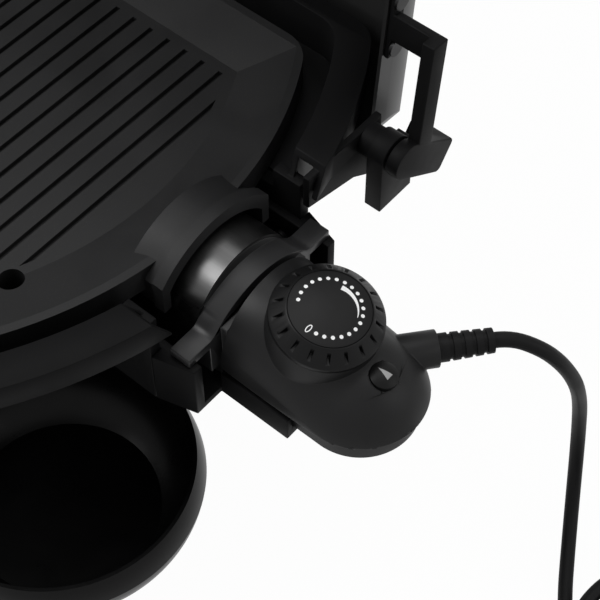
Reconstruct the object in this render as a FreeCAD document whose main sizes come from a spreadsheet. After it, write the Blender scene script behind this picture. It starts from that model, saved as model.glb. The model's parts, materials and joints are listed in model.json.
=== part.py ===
import FreeCAD, Part
import math
import os
import Sketcher
from types import SimpleNamespace
from FreeCAD import Placement, Rotation, Vector

# Electric table grill: a ridged griddle in a frame, a roll-top lid, a plug-in control and a grease bowl.
# X points right, to the control, Y to the back, Z up. The origin is on the table below the griddle.

SIZES = {
    # Griddle plate
    "plate_level": 178.0,
    "plate_radius": 195.0,
    "plate_half_depth": 112.0,
    "plate_corner": 20.0,
    "plate_thick": 8.0,
    "rim_rise": 6.0,
    "rim_width": 4.0,
    "border_run": 26.0,
    "ridge_inset": 5.0,
    "ridge_pitch": 11.0,
    "groove_width": 2.6,
    "groove_depth": 2.4,
    "drain_inset": 45.0,
    "drain_side_inset": 42.0,
    "drain_bore": 6.0,
    "drain_wall": 2.5,
    "drain_drop": 46.0,
    "post_inset": 63.0,
    "post_side_inset": 24.0,
    "post_radius": 6.0,
    # Terminal hood on the right-hand end of the griddle
    "hood_ahead": 9.0,
    "hood_depth": 22.0,
    "lip_depth": 6.0,
    "lip_radius": 45.0,
    "lip_proud": 3.0,
    "lip_side_proud": 1.2,
    "hood_wall": 4.0,
    "hood_cheek": 3.2,
    "hood_half_width": 34.0,
    "hood_axis_drop": 27.0,
    "hood_skirt": 14.0,
    # Heating element, its terminals and the probe socket
    "element_radius": 4.0,
    "element_seat": 0.05,
    "element_side_inset": 42.0,
    "element_left_inset": 100.0,
    "element_inset": 45.0,
    "element_inner_bend": 20.0,
    "element_outer_bend": 30.0,
    "cold_end_inset": 19.0,
    "terminal_half_gap": 13.0,
    "terminal_radius": 3.0,
    "terminal_ahead": 12.0,
    "terminal_clearance": 0.3,
    "clip_x": 50.0,
    "clip_length": 16.0,
    "clip_wall": 5.0,
    "probe_radius": 2.5,
    "probe_drop": 14.0,
    "probe_inset": 45.0,
    "probe_clearance": 0.2,
    "socket_inset": 55.0,
    "socket_radius": 5.5,
    # Frame ring
    "ring_side_gap": 14.0,
    "ring_front_gap": 12.0,
    "ring_side_width": 17.0,
    "ring_front_width": 10.0,
    "ring_corner": 20.0,
    "ring_rise": 14.0,
    "ring_sheet": 3.0,
    "ledge_drop": 14.0,
    "ledge_width": 6.0,
    "ledge_thick": 3.0,
    "notch_half_width": 46.0,
    "notch_flare": 9.0,
    "cheek_inset": 11.0,
    "cheek_ahead": 17.0,
    "cheek_thick": 6.0,
    "cheek_gap": 1.0,
    # Reflector pan
    "pan_inset": 9.0,
    "pan_side_inset": 11.0,
    "pan_drop": 40.0,
    "pan_sheet": 1.2,
    "pan_flange_gap": 1.0,
    "pan_hole_gap": 2.0,
    # Cradle for the control
    "cradle_drop": 51.0,
    "cradle_floor": 4.0,
    "cradle_ahead": 20.0,
    "cradle_wall": 4.5,
    "cradle_taper": 5.5,
    "ear_seat": 19.0,
    "tongue_ahead": 38.0,
    "tongue_half_width": 31.0,
    "tongue_rim_drop": 36.6,
    "cradle_gap": 0.4,
    # Legs, feet and bowl shelf
    "leg_inset": 108.0,
    "leg_front_inset": 27.0,
    "leg_back_inset": 37.0,
    "leg_radius": 7.0,
    "leg_bend": 25.0,
    "leg_plate": 2.5,
    "leg_plate_length": 40.0,
    "leg_plate_width": 30.0,
    "foot_sole": 5.0,
    "foot_length": 26.0,
    "foot_width": 22.0,
    "foot_grip": 6.0,
    "shelf_sheet": 2.0,
    "shelf_neck": 19.0,
    "shelf_right_run": 41.0,
    "shelf_front_run": 38.0,
    "shelf_back_run": 52.0,
    "shelf_tab": 25.0,
    # Grease bowl
    "bowl_gap": 5.5,
    "bowl_ahead": 13.7,
    "bowl_foot_radius": 47.5,
    "bowl_belly_radius": 71.0,
    "bowl_rim_radius": 67.2,
    "bowl_belly_height": 33.0,
    "bowl_height": 46.5,
    "bowl_wall": 1.8,
    "bowl_lower_round": 42.0,
    "bowl_upper_round": 50.0,
    # Lid hinge
    "hinge_inset": 25.0,
    "hinge_rise": 4.0,
    "hinge_pin_radius": 4.0,
    "hinge_running": 0.1,
    "panel_ahead": 18.5,
    "panel_thick": 3.5,
    "panel_reach": 41.0,
    "panel_tail": 10.0,
    "panel_drop": 22.0,
    "panel_front_drop": 8.0,
    "panel_knee": 9.0,
    "panel_knee_drop": 16.0,
    "boss_radius": 8.0,
    "boss_length": 7.0,
    "hinge_clip_length": 9.0,
    "knuckle_radius": 9.5,
    "knuckle_gap": 1.0,
    "tab_drop": 32.0,
    "tab_depth": 23.0,
    "pin_end_gap": 0.3,
    # Lid
    "lid_open": 95.0,
    "lid_gap": 1.0,
    "lid_sheet": 1.8,
    "lid_ahead": 17.0,
    "lid_plan_ahead": 37.0,
    "lid_end_radius": 52.0,
    "lid_crown": 8.0,
    "lid_shoulder": 40.0,
    "lug_half_width": 9.0,
    "lug_length": 36.5,
    "lug_dip": 35.0,
    "lug_cap": 2.5,
    "lug_round": 3.0,
    "hook_length": 12.0,
    "hook_reach": 12.0,
    "arm_thick": 6.5,
    "arm_rise": 6.5,
    "arm_width": 10.0,
    "arm_reach": 62.0,
    "arm_web_length": 14.0,
    "arm_pad": 2.5,
    "arm_pad_half_length": 18.0,
    "arm_pad_height": 8.0,
    "rivet_radius": 2.5,
    "rivet_head": 1.5,
    "handle_post_x": 48.0,
    "handle_post_radius": 6.0,
    "handle_post_length": 34.0,
    "handle_rise": 26.0,
    "grip_radius": 9.0,
    "grip_half_length": 70.0,
    # Control body
    "sleeve_ahead": 1.0,
    "sleeve_radius": 30.7,
    "sleeve_axis_drop": 23.5,
    "sleeve_bottom_drop": 44.0,
    "sleeve_sheet": 1.2,
    "spigot_depth": 3.0,
    "spigot_gap": 0.2,
    "flange_ahead": 23.0,
    "flange_thick": 11.0,
    "flange_radius": 40.7,
    "flange_axis_drop": 40.0,
    "flange_half_width": 33.0,
    "ear_half_span": 46.0,
    "ear_thick": 5.0,
    "ear_round": 6.0,
    "neck_half_width": 26.0,
    "neck_top_drop": 10.0,
    "body_gap": 3.5,
    "body_length": 52.0,
    "body_half_width": 31.0,
    "body_split_drop": 33.0,
    "body_tilt": 12.0,
    "body_top_drop": 3.3,
    "lower_half_width": 27.0,
    "lower_drop": 45.0,
    "cavity_half_width": 22.0,
    "cavity_top_drop": 22.0,
    "thermostat_half_width": 14.0,
    "thermostat_back": 4.0,
    "thermostat_front": 3.0,
    "thermostat_gap": 0.3,
    "receptacle_radius": 5.5,
    "receptacle_ahead": 2.0,
    "receptacle_depth": 4.0,
    # Knob
    "knob_behind": 20.3,
    "collar_radius": 24.6,
    "collar_depth": 18.0,
    "collar_rise": 4.0,
    "knob_gap": 0.5,
    "knob_radius": 25.0,
    "knob_wall_height": 2.5,
    "knob_face_radius": 18.5,
    "knob_face_height": 9.3,
    "knob_dome": 1.9,
    "notch_width": 1.5,
    "notch_floor": 4.0,
    "notch_inner": 19.6,
    "shaft_radius": 4.0,
    "shaft_running": 0.1,
    "shaft_grip": 7.0,
    "lens_ahead": 12.1,
    "lens_radius": 6.3,
    "lens_rise": 2.0,
    "lens_depth": 2.4,
    # Strain relief and cord
    "relief_ahead": 15.8,
    "relief_y": 33.3,
    "relief_drop": 24.5,
    "relief_heading": 50.0,
    "relief_root": 14.0,
    "relief_root_radius": 6.4,
    "relief_plain": 4.0,
    "relief_length": 24.0,
    "relief_tip_radius": 5.6,
    "relief_boss_radius": 8.4,
    "relief_boss_depth": 20.0,
    "relief_boss_gap": 0.6,
    "relief_rib_depth": 0.9,
    "relief_clearance": 0.1,
    "cord_radius": 3.6,
    "cord_lead": 8.0,
    "cord_lie": 5.5,
    "coil_outer_radius": 54.0,
    "coil_pitch": 9.0,
    "coil_layer": 8.4,
    "coil_tail": 50.0,
    "tie_sheet": 1.2,
    "tie_width": 9.0,
    "tie_gap": 0.45,
    "tie_side_gap": 1.1,
    "plug_length": 42.0,
    "plug_half_width": 16.0,
    "plug_half_height": 13.9,
    "plug_round": 5.0,
    "plug_pin_radius": 2.4,
    "plug_pin_length": 19.0,
    "plug_pin_half_gap": 9.5,
    # Screws
    "screw_radius": 2.0,
    "screw_hole_gap": 0.1,
    "screw_head_radius": 3.8,
    "screw_head": 2.0,
}

GROOVES_EACH_SIDE = 14
KNOB_NOTCHES = 18
RELIEF_RIBS = 4
COIL_TURNS_IN = 2.75
COIL_CLIMB = 0.5
TIE_AT_TURN = 0.41
SIDES = (-1, 1)

# The free cord's route from the relief's tip: along X, along Y, share of the drop to the table.
CORD_ROUTE = (
    (16.9, 13.4, 0.037), (23.5, 19.7, 0.109), (27.3, 26.6, 0.21), (28.9, 33.9, 0.331), (29.3, 40.3, 0.473),
    (29.9, 43.9, 0.618), (32.7, 42.9, 0.75), (38.1, 36.5, 0.861), (45.9, 25.3, 0.946), (55.3, 10.5, 0.991),
    (65.6, -6.5, 1.0), (77.7, -23.5, 1.0), (88.3, -37.5, 1.0),
)

doc = FreeCAD.newDocument("electric_grill")


class Size:
    """A number together with the sheet formula that gives it."""

    def __init__(self, value, text):
        self.value = value
        self.text = text

    def __add__(self, other):
        other = as_size(other)
        return Size(self.value + other.value, f"({self.text} + {other.text})")

    def __sub__(self, other):
        other = as_size(other)
        return Size(self.value - other.value, f"({self.text} - {other.text})")

    def __mul__(self, other):
        other = as_size(other)
        return Size(self.value * other.value, f"({self.text} * {other.text})")

    def __truediv__(self, other):
        other = as_size(other)
        return Size(self.value / other.value, f"({self.text} / {other.text})")

    def __rsub__(self, other):
        return as_size(other) - self

    def __neg__(self):
        return as_size(0) - self

    __radd__ = __add__
    __rmul__ = __mul__


def as_size(value):
    """Returns a size as it is, and a plain number as a size."""
    if isinstance(value, Size):
        return value
    return Size(float(value), f"({float(value)!r})")


def root(size):
    """The square root of a size."""
    return Size(math.sqrt(size.value), f"sqrt({size.text})")


def fill_sheet():
    """Writes the driving sizes into the sheet and returns them by name."""
    sheet = doc.addObject("Spreadsheet::Sheet", "Dims")
    for row, (name, value) in enumerate(SIZES.items(), start=1):
        sheet.set(f"A{row}", name)
        sheet.set(f"B{row}", str(value))
        sheet.setAlias(f"B{row}", name)
    doc.recompute()
    return SimpleNamespace(**{name: Size(value, f"Dims.{name}") for name, value in SIZES.items()})


d = fill_sheet()
NODES = []
AXIS_TURN = {
    "x": Rotation(Vector(0, 1, 0), 90),
    "y": Rotation(Vector(1, 0, 0), -90),
    "z": Rotation(),
}
PLANE_TURN = {
    "xy": Rotation(),
    "xz": Rotation(Vector(1, 0, 0), 90),
    "yz": Rotation(Vector(1, 1, 1), 120),
}


def bind(item, prop, size):
    """Ties a property to the sheet."""
    item.setExpression(prop, as_size(size).text)


def place(item, x, y, z):
    """Ties an item's place to the sheet and keeps its turn."""
    for axis, size in zip("xyz", (x, y, z)):
        bind(item, f"Placement.Base.{axis}", size)
    return item


def box(x, y, z):
    """A box between two sizes along each axis."""
    item = doc.addObject("Part::Box", "box")
    for prop, span in zip(("Length", "Width", "Height"), (x, y, z)):
        bind(item, prop, as_size(span[1]) - span[0])
    return place(item, x[0], y[0], z[0])


def cylinder(radius, span, axis, first, second):
    """A cylinder along an axis, at the two other coordinates in X, Y, Z order."""
    item = doc.addObject("Part::Cylinder", "cylinder")
    bind(item, "Radius", radius)
    bind(item, "Height", as_size(span[1]) - span[0])
    item.Placement = Placement(Vector(), AXIS_TURN[axis])
    spot = {"x": (span[0], first, second), "y": (first, span[0], second), "z": (first, second, span[0])}
    return place(item, *spot[axis])


def cone(radius_low, radius_high, z):
    """An upright cone on the middle of the grill."""
    item = doc.addObject("Part::Cone", "cone")
    bind(item, "Radius1", radius_low)
    bind(item, "Radius2", radius_high)
    bind(item, "Height", as_size(z[1]) - z[0])
    return place(item, 0, 0, z[0])


def flared_block(x, half_low, half_high, z):
    """A block whose half depth changes from its floor to its top."""
    item = doc.addObject("Part::Wedge", "wedge")
    item.Placement = Placement(Vector(), Rotation(Vector(1, 0, 0), 90))
    for prop in ("Xmin", "X2min"):
        bind(item, prop, x[0])
    for prop in ("Xmax", "X2max"):
        bind(item, prop, x[1])
    bind(item, "Ymin", 0)
    bind(item, "Ymax", as_size(z[1]) - z[0])
    bind(item, "Zmin", -as_size(half_low))
    bind(item, "Zmax", half_low)
    bind(item, "Z2min", -as_size(half_high))
    bind(item, "Z2max", half_high)
    return place(item, 0, 0, z[0])


def group(kind, items):
    """Joins several items in one feature of the given kind."""
    item = doc.addObject(kind, kind.split("::")[1].lower())
    if kind == "Part::Compound":
        item.Links = list(items)
    else:
        item.Shapes = list(items)
    return item


def fuse(*items):
    """The union of several items."""
    return group("Part::MultiFuse", items)


def common(*items):
    """What several items share."""
    return group("Part::MultiCommon", items)


def several(*items):
    """Separate solids kept in one node."""
    return group("Part::Compound", items)


def cut(base, *tools):
    """An item less one or more tools."""
    item = doc.addObject("Part::Cut", "cut")
    item.Base = base
    item.Tool = tools[0] if len(tools) == 1 else fuse(*tools)
    return item


def rounded(base, radius, wanted):
    """An item with the wanted edges filleted."""
    doc.recompute()
    reach = as_size(radius).value
    item = doc.addObject("Part::Fillet", "rounded")
    item.Base = base
    item.Edges = [(index, reach, reach) for index, edge in enumerate(base.Shape.Edges, 1) if wanted(edge)]
    return item


def is_upright(edge):
    """Tells whether an edge is a vertical line away from the middle plane."""
    low, high = edge.BoundBox.ZMin, edge.BoundBox.ZMax
    return abs(edge.Length - (high - low)) < 1e-4 and abs(edge.CenterOfMass.y) > 1.0


def barrel(radius, half_depth, z, corner=None):
    """An upright block with round ends and straight front and back."""
    reach = radius * 1.1
    block = common(cylinder(radius, z, "z", 0, 0), box((-reach, reach), (-half_depth, half_depth), z))
    return block if corner is None else rounded(block, corner, is_upright)


def stadium(back, end, half_width, z):
    """A block with a flat back and a half-round end along +X."""
    straight = box((back, end), (-half_width, half_width), z)
    return fuse(straight, cylinder(half_width, z, "z", end, 0))


def profile(plane, corners, arcs=None):
    """A closed sketch through bound corners, with arcs of a radius on some of its sides.

    An arc is given as side number: (radius, sense), with sense 1 for counter-clockwise.
    """
    sketch = doc.addObject("Sketcher::SketchObject", "profile")
    sketch.Placement = Placement(Vector(), PLANE_TURN[plane])
    corners = [(as_size(x), as_size(y)) for x, y in corners]
    spots = [Vector(x.value, y.value, 0) for x, y in corners]
    ends = []
    for side, start in enumerate(spots):
        stop = spots[(side + 1) % len(spots)]
        radius, sense = (arcs or {}).get(side, (None, 0))
        if radius is None:
            sketch.addGeometry(Part.LineSegment(start, stop))
            ends.append((1, 2))
            continue
        along = stop - start
        lift = math.sqrt(max(radius.value ** 2 - (along.Length / 2) ** 2, 0))
        left = Vector(-along.y, along.x, 0).normalize()
        centre = (start + stop) * 0.5 + left * (lift * sense)
        first, last = (start, stop) if sense > 0 else (stop, start)
        angles = [math.atan2(p.y - centre.y, p.x - centre.x) for p in (first, last)]
        if angles[1] < angles[0]:
            angles[1] += 2 * math.pi
        sketch.addGeometry(Part.ArcOfCircle(Part.Circle(centre, Vector(0, 0, 1), radius.value), *angles))
        ends.append((1, 2) if sense > 0 else (2, 1))
    for side in range(len(spots)):
        following = (side + 1) % len(spots)
        sketch.addConstraint(
            Sketcher.Constraint("Coincident", side, ends[side][1], following, ends[following][0]))
    for side, (x, y) in enumerate(corners):
        for kind, axis, size in (("DistanceX", -2, x), ("DistanceY", -1, y)):
            if size.value == 0:
                sketch.addConstraint(Sketcher.Constraint("PointOnObject", side, ends[side][0], axis))
                continue
            index = sketch.addConstraint(
                Sketcher.Constraint(kind, -1, 1, side, ends[side][0], size.value))
            sketch.setExpression(f"Constraints[{index}]", size.text)
        if arcs and side in arcs:
            radius = arcs[side][0]
            index = sketch.addConstraint(Sketcher.Constraint("Radius", side, radius.value))
            sketch.setExpression(f"Constraints[{index}]", radius.text)
    return sketch


def extruded(plane, span, corners, arcs=None):
    """A profile pulled along its plane's normal between two sizes."""
    item = doc.addObject("Part::Extrusion", "extruded")
    item.Base = profile(plane, corners, arcs)
    item.DirMode = "Normal"
    item.Solid = True
    bind(item, "LengthFwd", span[1])
    bind(item, "LengthRev", -as_size(span[0]))
    return item


def revolved(corners, arcs=None):
    """A profile of radius and height turned about the upright axis."""
    item = doc.addObject("Part::Revolution", "revolved")
    item.Source = profile("xz", corners, arcs)
    item.Axis = Vector(0, 0, 1)
    item.Angle = 360
    item.Solid = True
    return item


def moved(item, placement):
    """A finished item turned and moved to its place."""
    carrier = several(item)
    carrier.Placement = placement
    return carrier


def solid(shape):
    """A feature that holds a shape made with swept wires."""
    item = doc.addObject("Part::Feature", "solid")
    item.Shape = shape
    return item


def node(name, item):
    """Registers a finished sub-part under its name."""
    item.Label = name
    NODES.append(item)
    return item


def screw(axis, sense, head_face, first, second, length):
    """A pan-head screw whose head sits on a face and points along sense."""
    head = cylinder(d.screw_head_radius, ordered(head_face, head_face + sense * d.screw_head),
                    axis, first, second)
    shank = cylinder(d.screw_radius, ordered(head_face, head_face - sense * as_size(length)),
                     axis, first, second)
    return fuse(head, shank)


def screw_hole(axis, sense, head_face, first, second, length):
    """The clearance hole for such a screw."""
    reach = as_size(length) + d.screw_hole_gap
    return cylinder(d.screw_radius + d.screw_hole_gap,
                    ordered(head_face, head_face - sense * reach), axis, first, second)


def ordered(first, second):
    """Two sizes in rising order."""
    first, second = as_size(first), as_size(second)
    return (first, second) if first.value <= second.value else (second, first)


# Places along X and Y that follow from the plate's size, from the inside outwards.
d.drain_x = d.plate_radius - d.drain_inset
d.drain_y = d.drain_side_inset - d.plate_half_depth
d.post_x = d.plate_radius - d.post_inset
d.post_y = d.plate_half_depth - d.post_side_inset
d.element_half_width = d.plate_half_depth - d.element_side_inset
d.element_left = d.plate_radius - d.element_left_inset
d.element_right = d.plate_radius - d.element_inset
d.cold_end = d.plate_radius - d.cold_end_inset
d.terminal_front = d.plate_radius + d.terminal_ahead
d.probe_back = d.plate_radius - d.probe_inset
d.socket_back = d.plate_radius - d.socket_inset
d.hood_front = d.plate_radius + d.hood_ahead
d.pan_radius = d.plate_radius - d.pan_inset
d.pan_half_depth = d.plate_half_depth - d.pan_side_inset
d.cheek_back = d.plate_radius - d.cheek_inset
d.cheek_front = d.plate_radius + d.cheek_ahead
d.cradle_front = d.cheek_front + d.cradle_ahead
d.tongue_front = d.cradle_front + d.tongue_ahead
d.leg_x = d.plate_radius - d.leg_inset
d.leg_front = d.leg_front_inset - d.plate_half_depth
d.leg_back = d.plate_half_depth - d.leg_back_inset
d.bowl_x = d.leg_x + d.leg_radius + d.bowl_gap + d.bowl_belly_radius
d.bowl_y = d.drain_y - d.bowl_ahead
d.shelf_left = d.leg_x + d.shelf_neck
d.shelf_right = d.bowl_x + d.shelf_right_run
d.shelf_front = d.bowl_y - d.shelf_front_run
d.shelf_back = d.bowl_y + d.shelf_back_run
d.shelf_tab_front = d.shelf_back - d.shelf_tab
d.hinge_y = d.plate_half_depth - d.hinge_inset
d.panel_inner = d.plate_radius + d.panel_ahead
d.clip_back = d.panel_inner + d.panel_thick + d.boss_length
d.clip_end = d.clip_back + d.hinge_clip_length
d.arm_inner = d.clip_end + d.knuckle_gap
d.arm_outer = d.arm_inner + d.arm_thick
d.lid_side = d.plate_radius + d.lid_ahead
d.lid_plan_radius = d.plate_radius + d.lid_plan_ahead
d.sleeve_back = d.plate_radius + d.sleeve_ahead
d.receptacle_back = d.plate_radius + d.receptacle_ahead
d.flange_back = d.plate_radius + d.flange_ahead
d.flange_front = d.flange_back + d.flange_thick
d.body_back = d.flange_front + d.body_gap
d.body_end = d.body_back + d.body_length
d.knob_x = d.body_end - d.knob_behind
d.lens_x = d.body_end + d.lens_ahead
d.relief_x = d.body_end + d.relief_ahead

# Levels that several pieces share.
UNDERSIDE = d.plate_level - d.plate_thick
RIM_TOP = d.plate_level + d.rim_rise
RING_TOP = d.plate_level + d.ring_rise
RING_INNER = d.plate_radius + d.ring_side_gap
RING_INNER_HALF = d.plate_half_depth + d.ring_front_gap
RING_OUTER = RING_INNER + d.ring_side_width
RING_OUTER_HALF = RING_INNER_HALF + d.ring_front_width
LEDGE_BOTTOM = d.plate_level - d.ledge_drop
LEDGE_TOP = LEDGE_BOTTOM + d.ledge_thick
PAN_BOTTOM = d.plate_level - d.pan_drop
PAN_FLOOR = PAN_BOTTOM + d.pan_sheet
HINGE_Z = d.plate_level + d.hinge_rise
TERMINAL_Z = UNDERSIDE - d.element_radius - d.element_seat
PROBE_Z = d.plate_level - d.probe_drop
CRADLE_BOTTOM = d.plate_level - d.cradle_drop
CRADLE_FLOOR = CRADLE_BOTTOM + d.cradle_floor
EAR_SEAT = d.plate_level - d.ear_seat
LEG_AXIS_Z = d.foot_sole + d.leg_radius
SHELF_TOP = LEG_AXIS_Z + d.leg_radius + d.shelf_sheet
BODY_SPLIT = d.plate_level - d.body_split_drop


def rounded_path(points, radii):
    """A wire of straight runs joined by tangent arcs, one radius for each inner point."""
    edges = []
    start = points[0]
    for before, corner, after, radius in zip(points, points[1:], points[2:], radii):
        back = (before - corner).normalize()
        ahead = (after - corner).normalize()
        half = back.getAngle(ahead) / 2
        inset = radius / math.tan(half)
        middle = (back + ahead).normalize()
        entry, leave = corner + back * inset, corner + ahead * inset
        apex = corner + middle * (radius / math.sin(half) - radius)
        if (entry - start).Length > 1e-6:
            edges.append(Part.LineSegment(start, entry).toShape())
        edges.append(Part.Arc(entry, apex, leave).toShape())
        start = leave
    edges.append(Part.LineSegment(start, points[-1]).toShape())
    return Part.Wire(edges)


def tube_along(path, radius):
    """A round solid along a wire."""
    first = path.OrderedEdges[0]
    begin = first.valueAt(first.FirstParameter)
    heading = first.tangentAt(first.FirstParameter)
    circle = Part.Wire([Part.makeCircle(radius, begin, heading)])
    return Part.Solid(path.makePipeShell([circle], True, False))


# Griddle


def grooves():
    """The cooking grooves, along the depth of the plate and ended by the rounded zone."""
    inset = d.rim_width + d.border_run + d.ridge_inset
    z = (d.plate_level - d.groove_depth, d.plate_level + d.rim_rise)
    half = d.plate_half_depth - inset
    slots = []
    for side in SIDES:
        for count in range(GROOVES_EACH_SIDE):
            middle = d.ridge_pitch * (side * (count + 0.5))
            x = (middle - d.groove_width / 2, middle + d.groove_width / 2)
            slots.append(box(x, (-half * 1.1, half * 1.1), z))
    return common(barrel(d.plate_radius - inset, half, z), several(*slots))


def hood_block(radius, half_width, x, bottom):
    """An arch across X with straight cheeks, down to a level."""
    axis_z = d.plate_level - d.hood_axis_drop
    arch = cylinder(radius, x, "x", 0, axis_z)
    return common(arch, box(x, (-half_width, half_width), (bottom, axis_z + radius * 1.1)))


def griddle_plate():
    """The cast plate with its hood, posts, drain spout and probe socket."""
    blank = barrel(d.plate_radius, d.plate_half_depth, (UNDERSIDE, RIM_TOP), d.plate_corner)
    lip, lip_half = d.plate_radius - d.rim_width, d.plate_half_depth - d.rim_width
    floor, floor_half = lip - d.border_run, lip_half - d.border_run
    slope = (d.plate_level, RIM_TOP)
    dish = common(cone(floor, lip, slope), flared_block((-lip * 1.1, lip * 1.1), floor_half, lip_half, slope))
    hood_back = d.hood_front - d.hood_depth
    lip_back = d.hood_front - d.lip_depth
    skirt = d.plate_level - d.hood_skirt
    crown, half = d.lip_radius - d.lip_proud, d.hood_half_width - d.lip_side_proud
    hood = hood_block(crown, half, (hood_back, d.hood_front), skirt)
    hood_lip = hood_block(d.lip_radius, d.hood_half_width, (lip_back, d.hood_front), skirt)
    space = hood_block(crown - d.hood_wall, half - d.hood_cheek,
                       (hood_back + d.hood_wall, d.hood_front * 1.01), skirt - d.plate_thick)
    root_z = UNDERSIDE + d.plate_thick / 4
    posts = [cylinder(d.post_radius, (PAN_FLOOR, root_z), "z", d.post_x * sx, d.post_y * sy)
             for sx in SIDES for sy in SIDES]
    spout_z = UNDERSIDE - d.drain_drop
    spout = cylinder(d.drain_bore + d.drain_wall, (spout_z, root_z), "z", d.drain_x, d.drain_y)
    socket_x = (d.socket_back, hood_back + d.hood_wall)
    socket = cylinder(d.socket_radius, socket_x, "x", 0, PROBE_Z)
    web = box(socket_x, (-d.socket_radius, d.socket_radius), (PROBE_Z, root_z))
    bore = cylinder(d.drain_bore, (spout_z - 1, RIM_TOP), "z", d.drain_x, d.drain_y)
    probe_bore = cylinder(d.probe_radius + d.probe_clearance, (d.socket_back - 1, d.hood_front), "x", 0, PROBE_Z)
    pin_bores = [cylinder(d.terminal_radius + d.terminal_clearance, (d.cold_end, d.hood_front), "x",
                          d.terminal_half_gap * side, TERMINAL_Z) for side in SIDES]
    casting = fuse(cut(blank, dish), hood, hood_lip, spout, socket, web, *posts)
    return node("griddle_plate", cut(casting, space, grooves(), bore, probe_bore, *pin_bores))


def heating_element():
    """A tubular element in one loop below the plate, its two cold ends side by side."""
    z = TERMINAL_Z.value
    gap, half = d.terminal_half_gap.value, d.element_half_width.value
    right, left = d.element_right.value, -d.element_left.value
    neck = right - d.element_inner_bend.value
    bends = [d.element_inner_bend.value, d.element_outer_bend.value, half * 0.999]
    corners = [(d.cold_end.value, gap), (neck, gap), (neck, half), (left - half, half)]
    points = [Vector(x, y, z) for x, y in corners]
    points += [Vector(x, -y, z) for x, y in reversed(corners)]
    radii = bends + bends[::-1]
    return node("heating_element", solid(tube_along(rounded_path(points, radii), d.element_radius.value)))


def terminal_pins():
    """The two pins on the cold ends, which the control plugs onto."""
    pins = [cylinder(d.terminal_radius, (d.cold_end, d.terminal_front), "x", d.terminal_half_gap * side,
                     TERMINAL_Z) for side in SIDES]
    return node("terminal_pins", several(*pins))


def element_clips():
    """Saddles that hold the element against the plate."""
    clips = []
    slot = d.element_radius + d.element_seat
    for sx in SIDES:
        for sy in SIDES:
            x = (d.clip_x * sx - d.clip_length / 2, d.clip_x * sx + d.clip_length / 2)
            y = d.element_half_width * sy
            wide = slot + d.clip_wall
            saddle = box(x, (y - wide, y + wide), (TERMINAL_Z - slot - d.clip_wall / 2, UNDERSIDE))
            bore = cylinder(slot, x, "x", y, TERMINAL_Z)
            throat = box(x, (y - slot, y + slot), (TERMINAL_Z, UNDERSIDE))
            clips.append(cut(saddle, bore, throat))
    return node("element_clips", several(*clips))


# Base


def cradle_screw_spots():
    """Where the cradle is screwed to the frame's cheeks: X, side."""
    quarter = (d.cheek_front - d.cheek_back) / 4
    return [(x, side) for side in SIDES for x in (d.cheek_back + quarter, d.cheek_front - quarter)]


def cradle_screw(make, x, side):
    """A cradle screw, or its hole, from the well outwards."""
    face = (d.notch_half_width - d.cradle_wall) * side
    height = (CRADLE_FLOOR + EAR_SEAT) / 2
    return make("y", -side, face, x, height, d.cradle_wall + d.cheek_thick / 2)


def base_frame():
    """The frame ring with its ledge, the cheeks of the control's notch and the hinge panels."""
    sheet = d.ring_sheet
    wall_radius, wall_half = RING_INNER + sheet, RING_INNER_HALF + sheet
    crown = barrel(RING_OUTER, RING_OUTER_HALF, (d.plate_level, RING_TOP), d.ring_corner)
    wall = barrel(wall_radius, wall_half, (LEDGE_BOTTOM, RING_TOP - sheet), d.ring_corner)
    hollow = cut(barrel(RING_OUTER - sheet, RING_OUTER_HALF - sheet, (d.plate_level - 1, RING_TOP - sheet)),
                 barrel(wall_radius, wall_half, (d.plate_level - 2, RING_TOP)))
    opening = barrel(RING_INNER, RING_INNER_HALF, (LEDGE_TOP, RING_TOP + 1), d.ring_corner)
    ledge = barrel(RING_INNER - d.ledge_width, RING_INNER_HALF - d.ledge_width,
                   (LEDGE_BOTTOM - 1, LEDGE_TOP + 1))
    notch_x = (d.pan_radius - d.hood_depth, RING_OUTER * 1.1)
    half = d.notch_half_width
    notch = flared_block(notch_x, half, half + d.notch_flare, (d.plate_level, RING_TOP))
    passage = box(notch_x, (-half, half), (LEDGE_BOTTOM - 1, d.plate_level))
    ring = cut(fuse(cut(crown, hollow), wall), opening, ledge, notch, passage)
    cheek_top = UNDERSIDE - d.cheek_gap
    cheeks = []
    for side in SIDES:
        y = ordered(half * side, (half + d.cheek_thick) * side)
        cheeks.append(box((d.cheek_back, d.cheek_front), y, (CRADLE_BOTTOM, cheek_top)))
        cheeks.append(box((d.plate_radius + d.cheek_gap, d.cheek_front), y, (cheek_top, d.plate_level + sheet)))
    front, back, knee = d.hinge_y - d.panel_reach, d.hinge_y + d.panel_tail, d.hinge_y - d.panel_knee
    panel_bottom = d.plate_level - d.panel_drop
    outline = [(front, d.plate_level - d.panel_front_drop), (knee, d.plate_level - d.panel_knee_drop),
               (d.hinge_y, panel_bottom), (back, panel_bottom), (back, RING_TOP - sheet), (front, RING_TOP - sheet)]
    panels = [extruded("yz", ordered(d.panel_inner * side, (d.panel_inner + d.panel_thick) * side), outline)
              for side in SIDES]
    reach = d.panel_inner + d.panel_thick
    pin_holes = [cylinder(d.hinge_pin_radius, ordered(d.panel_inner * side * 0.99, reach * side * 1.01), "x",
                          d.hinge_y, HINGE_Z) for side in SIDES]
    screw_holes = [cradle_screw(screw_hole, *spot) for spot in cradle_screw_spots()]
    return node("base_frame", cut(fuse(ring, *cheeks, *panels), *pin_holes, *screw_holes))


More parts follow.
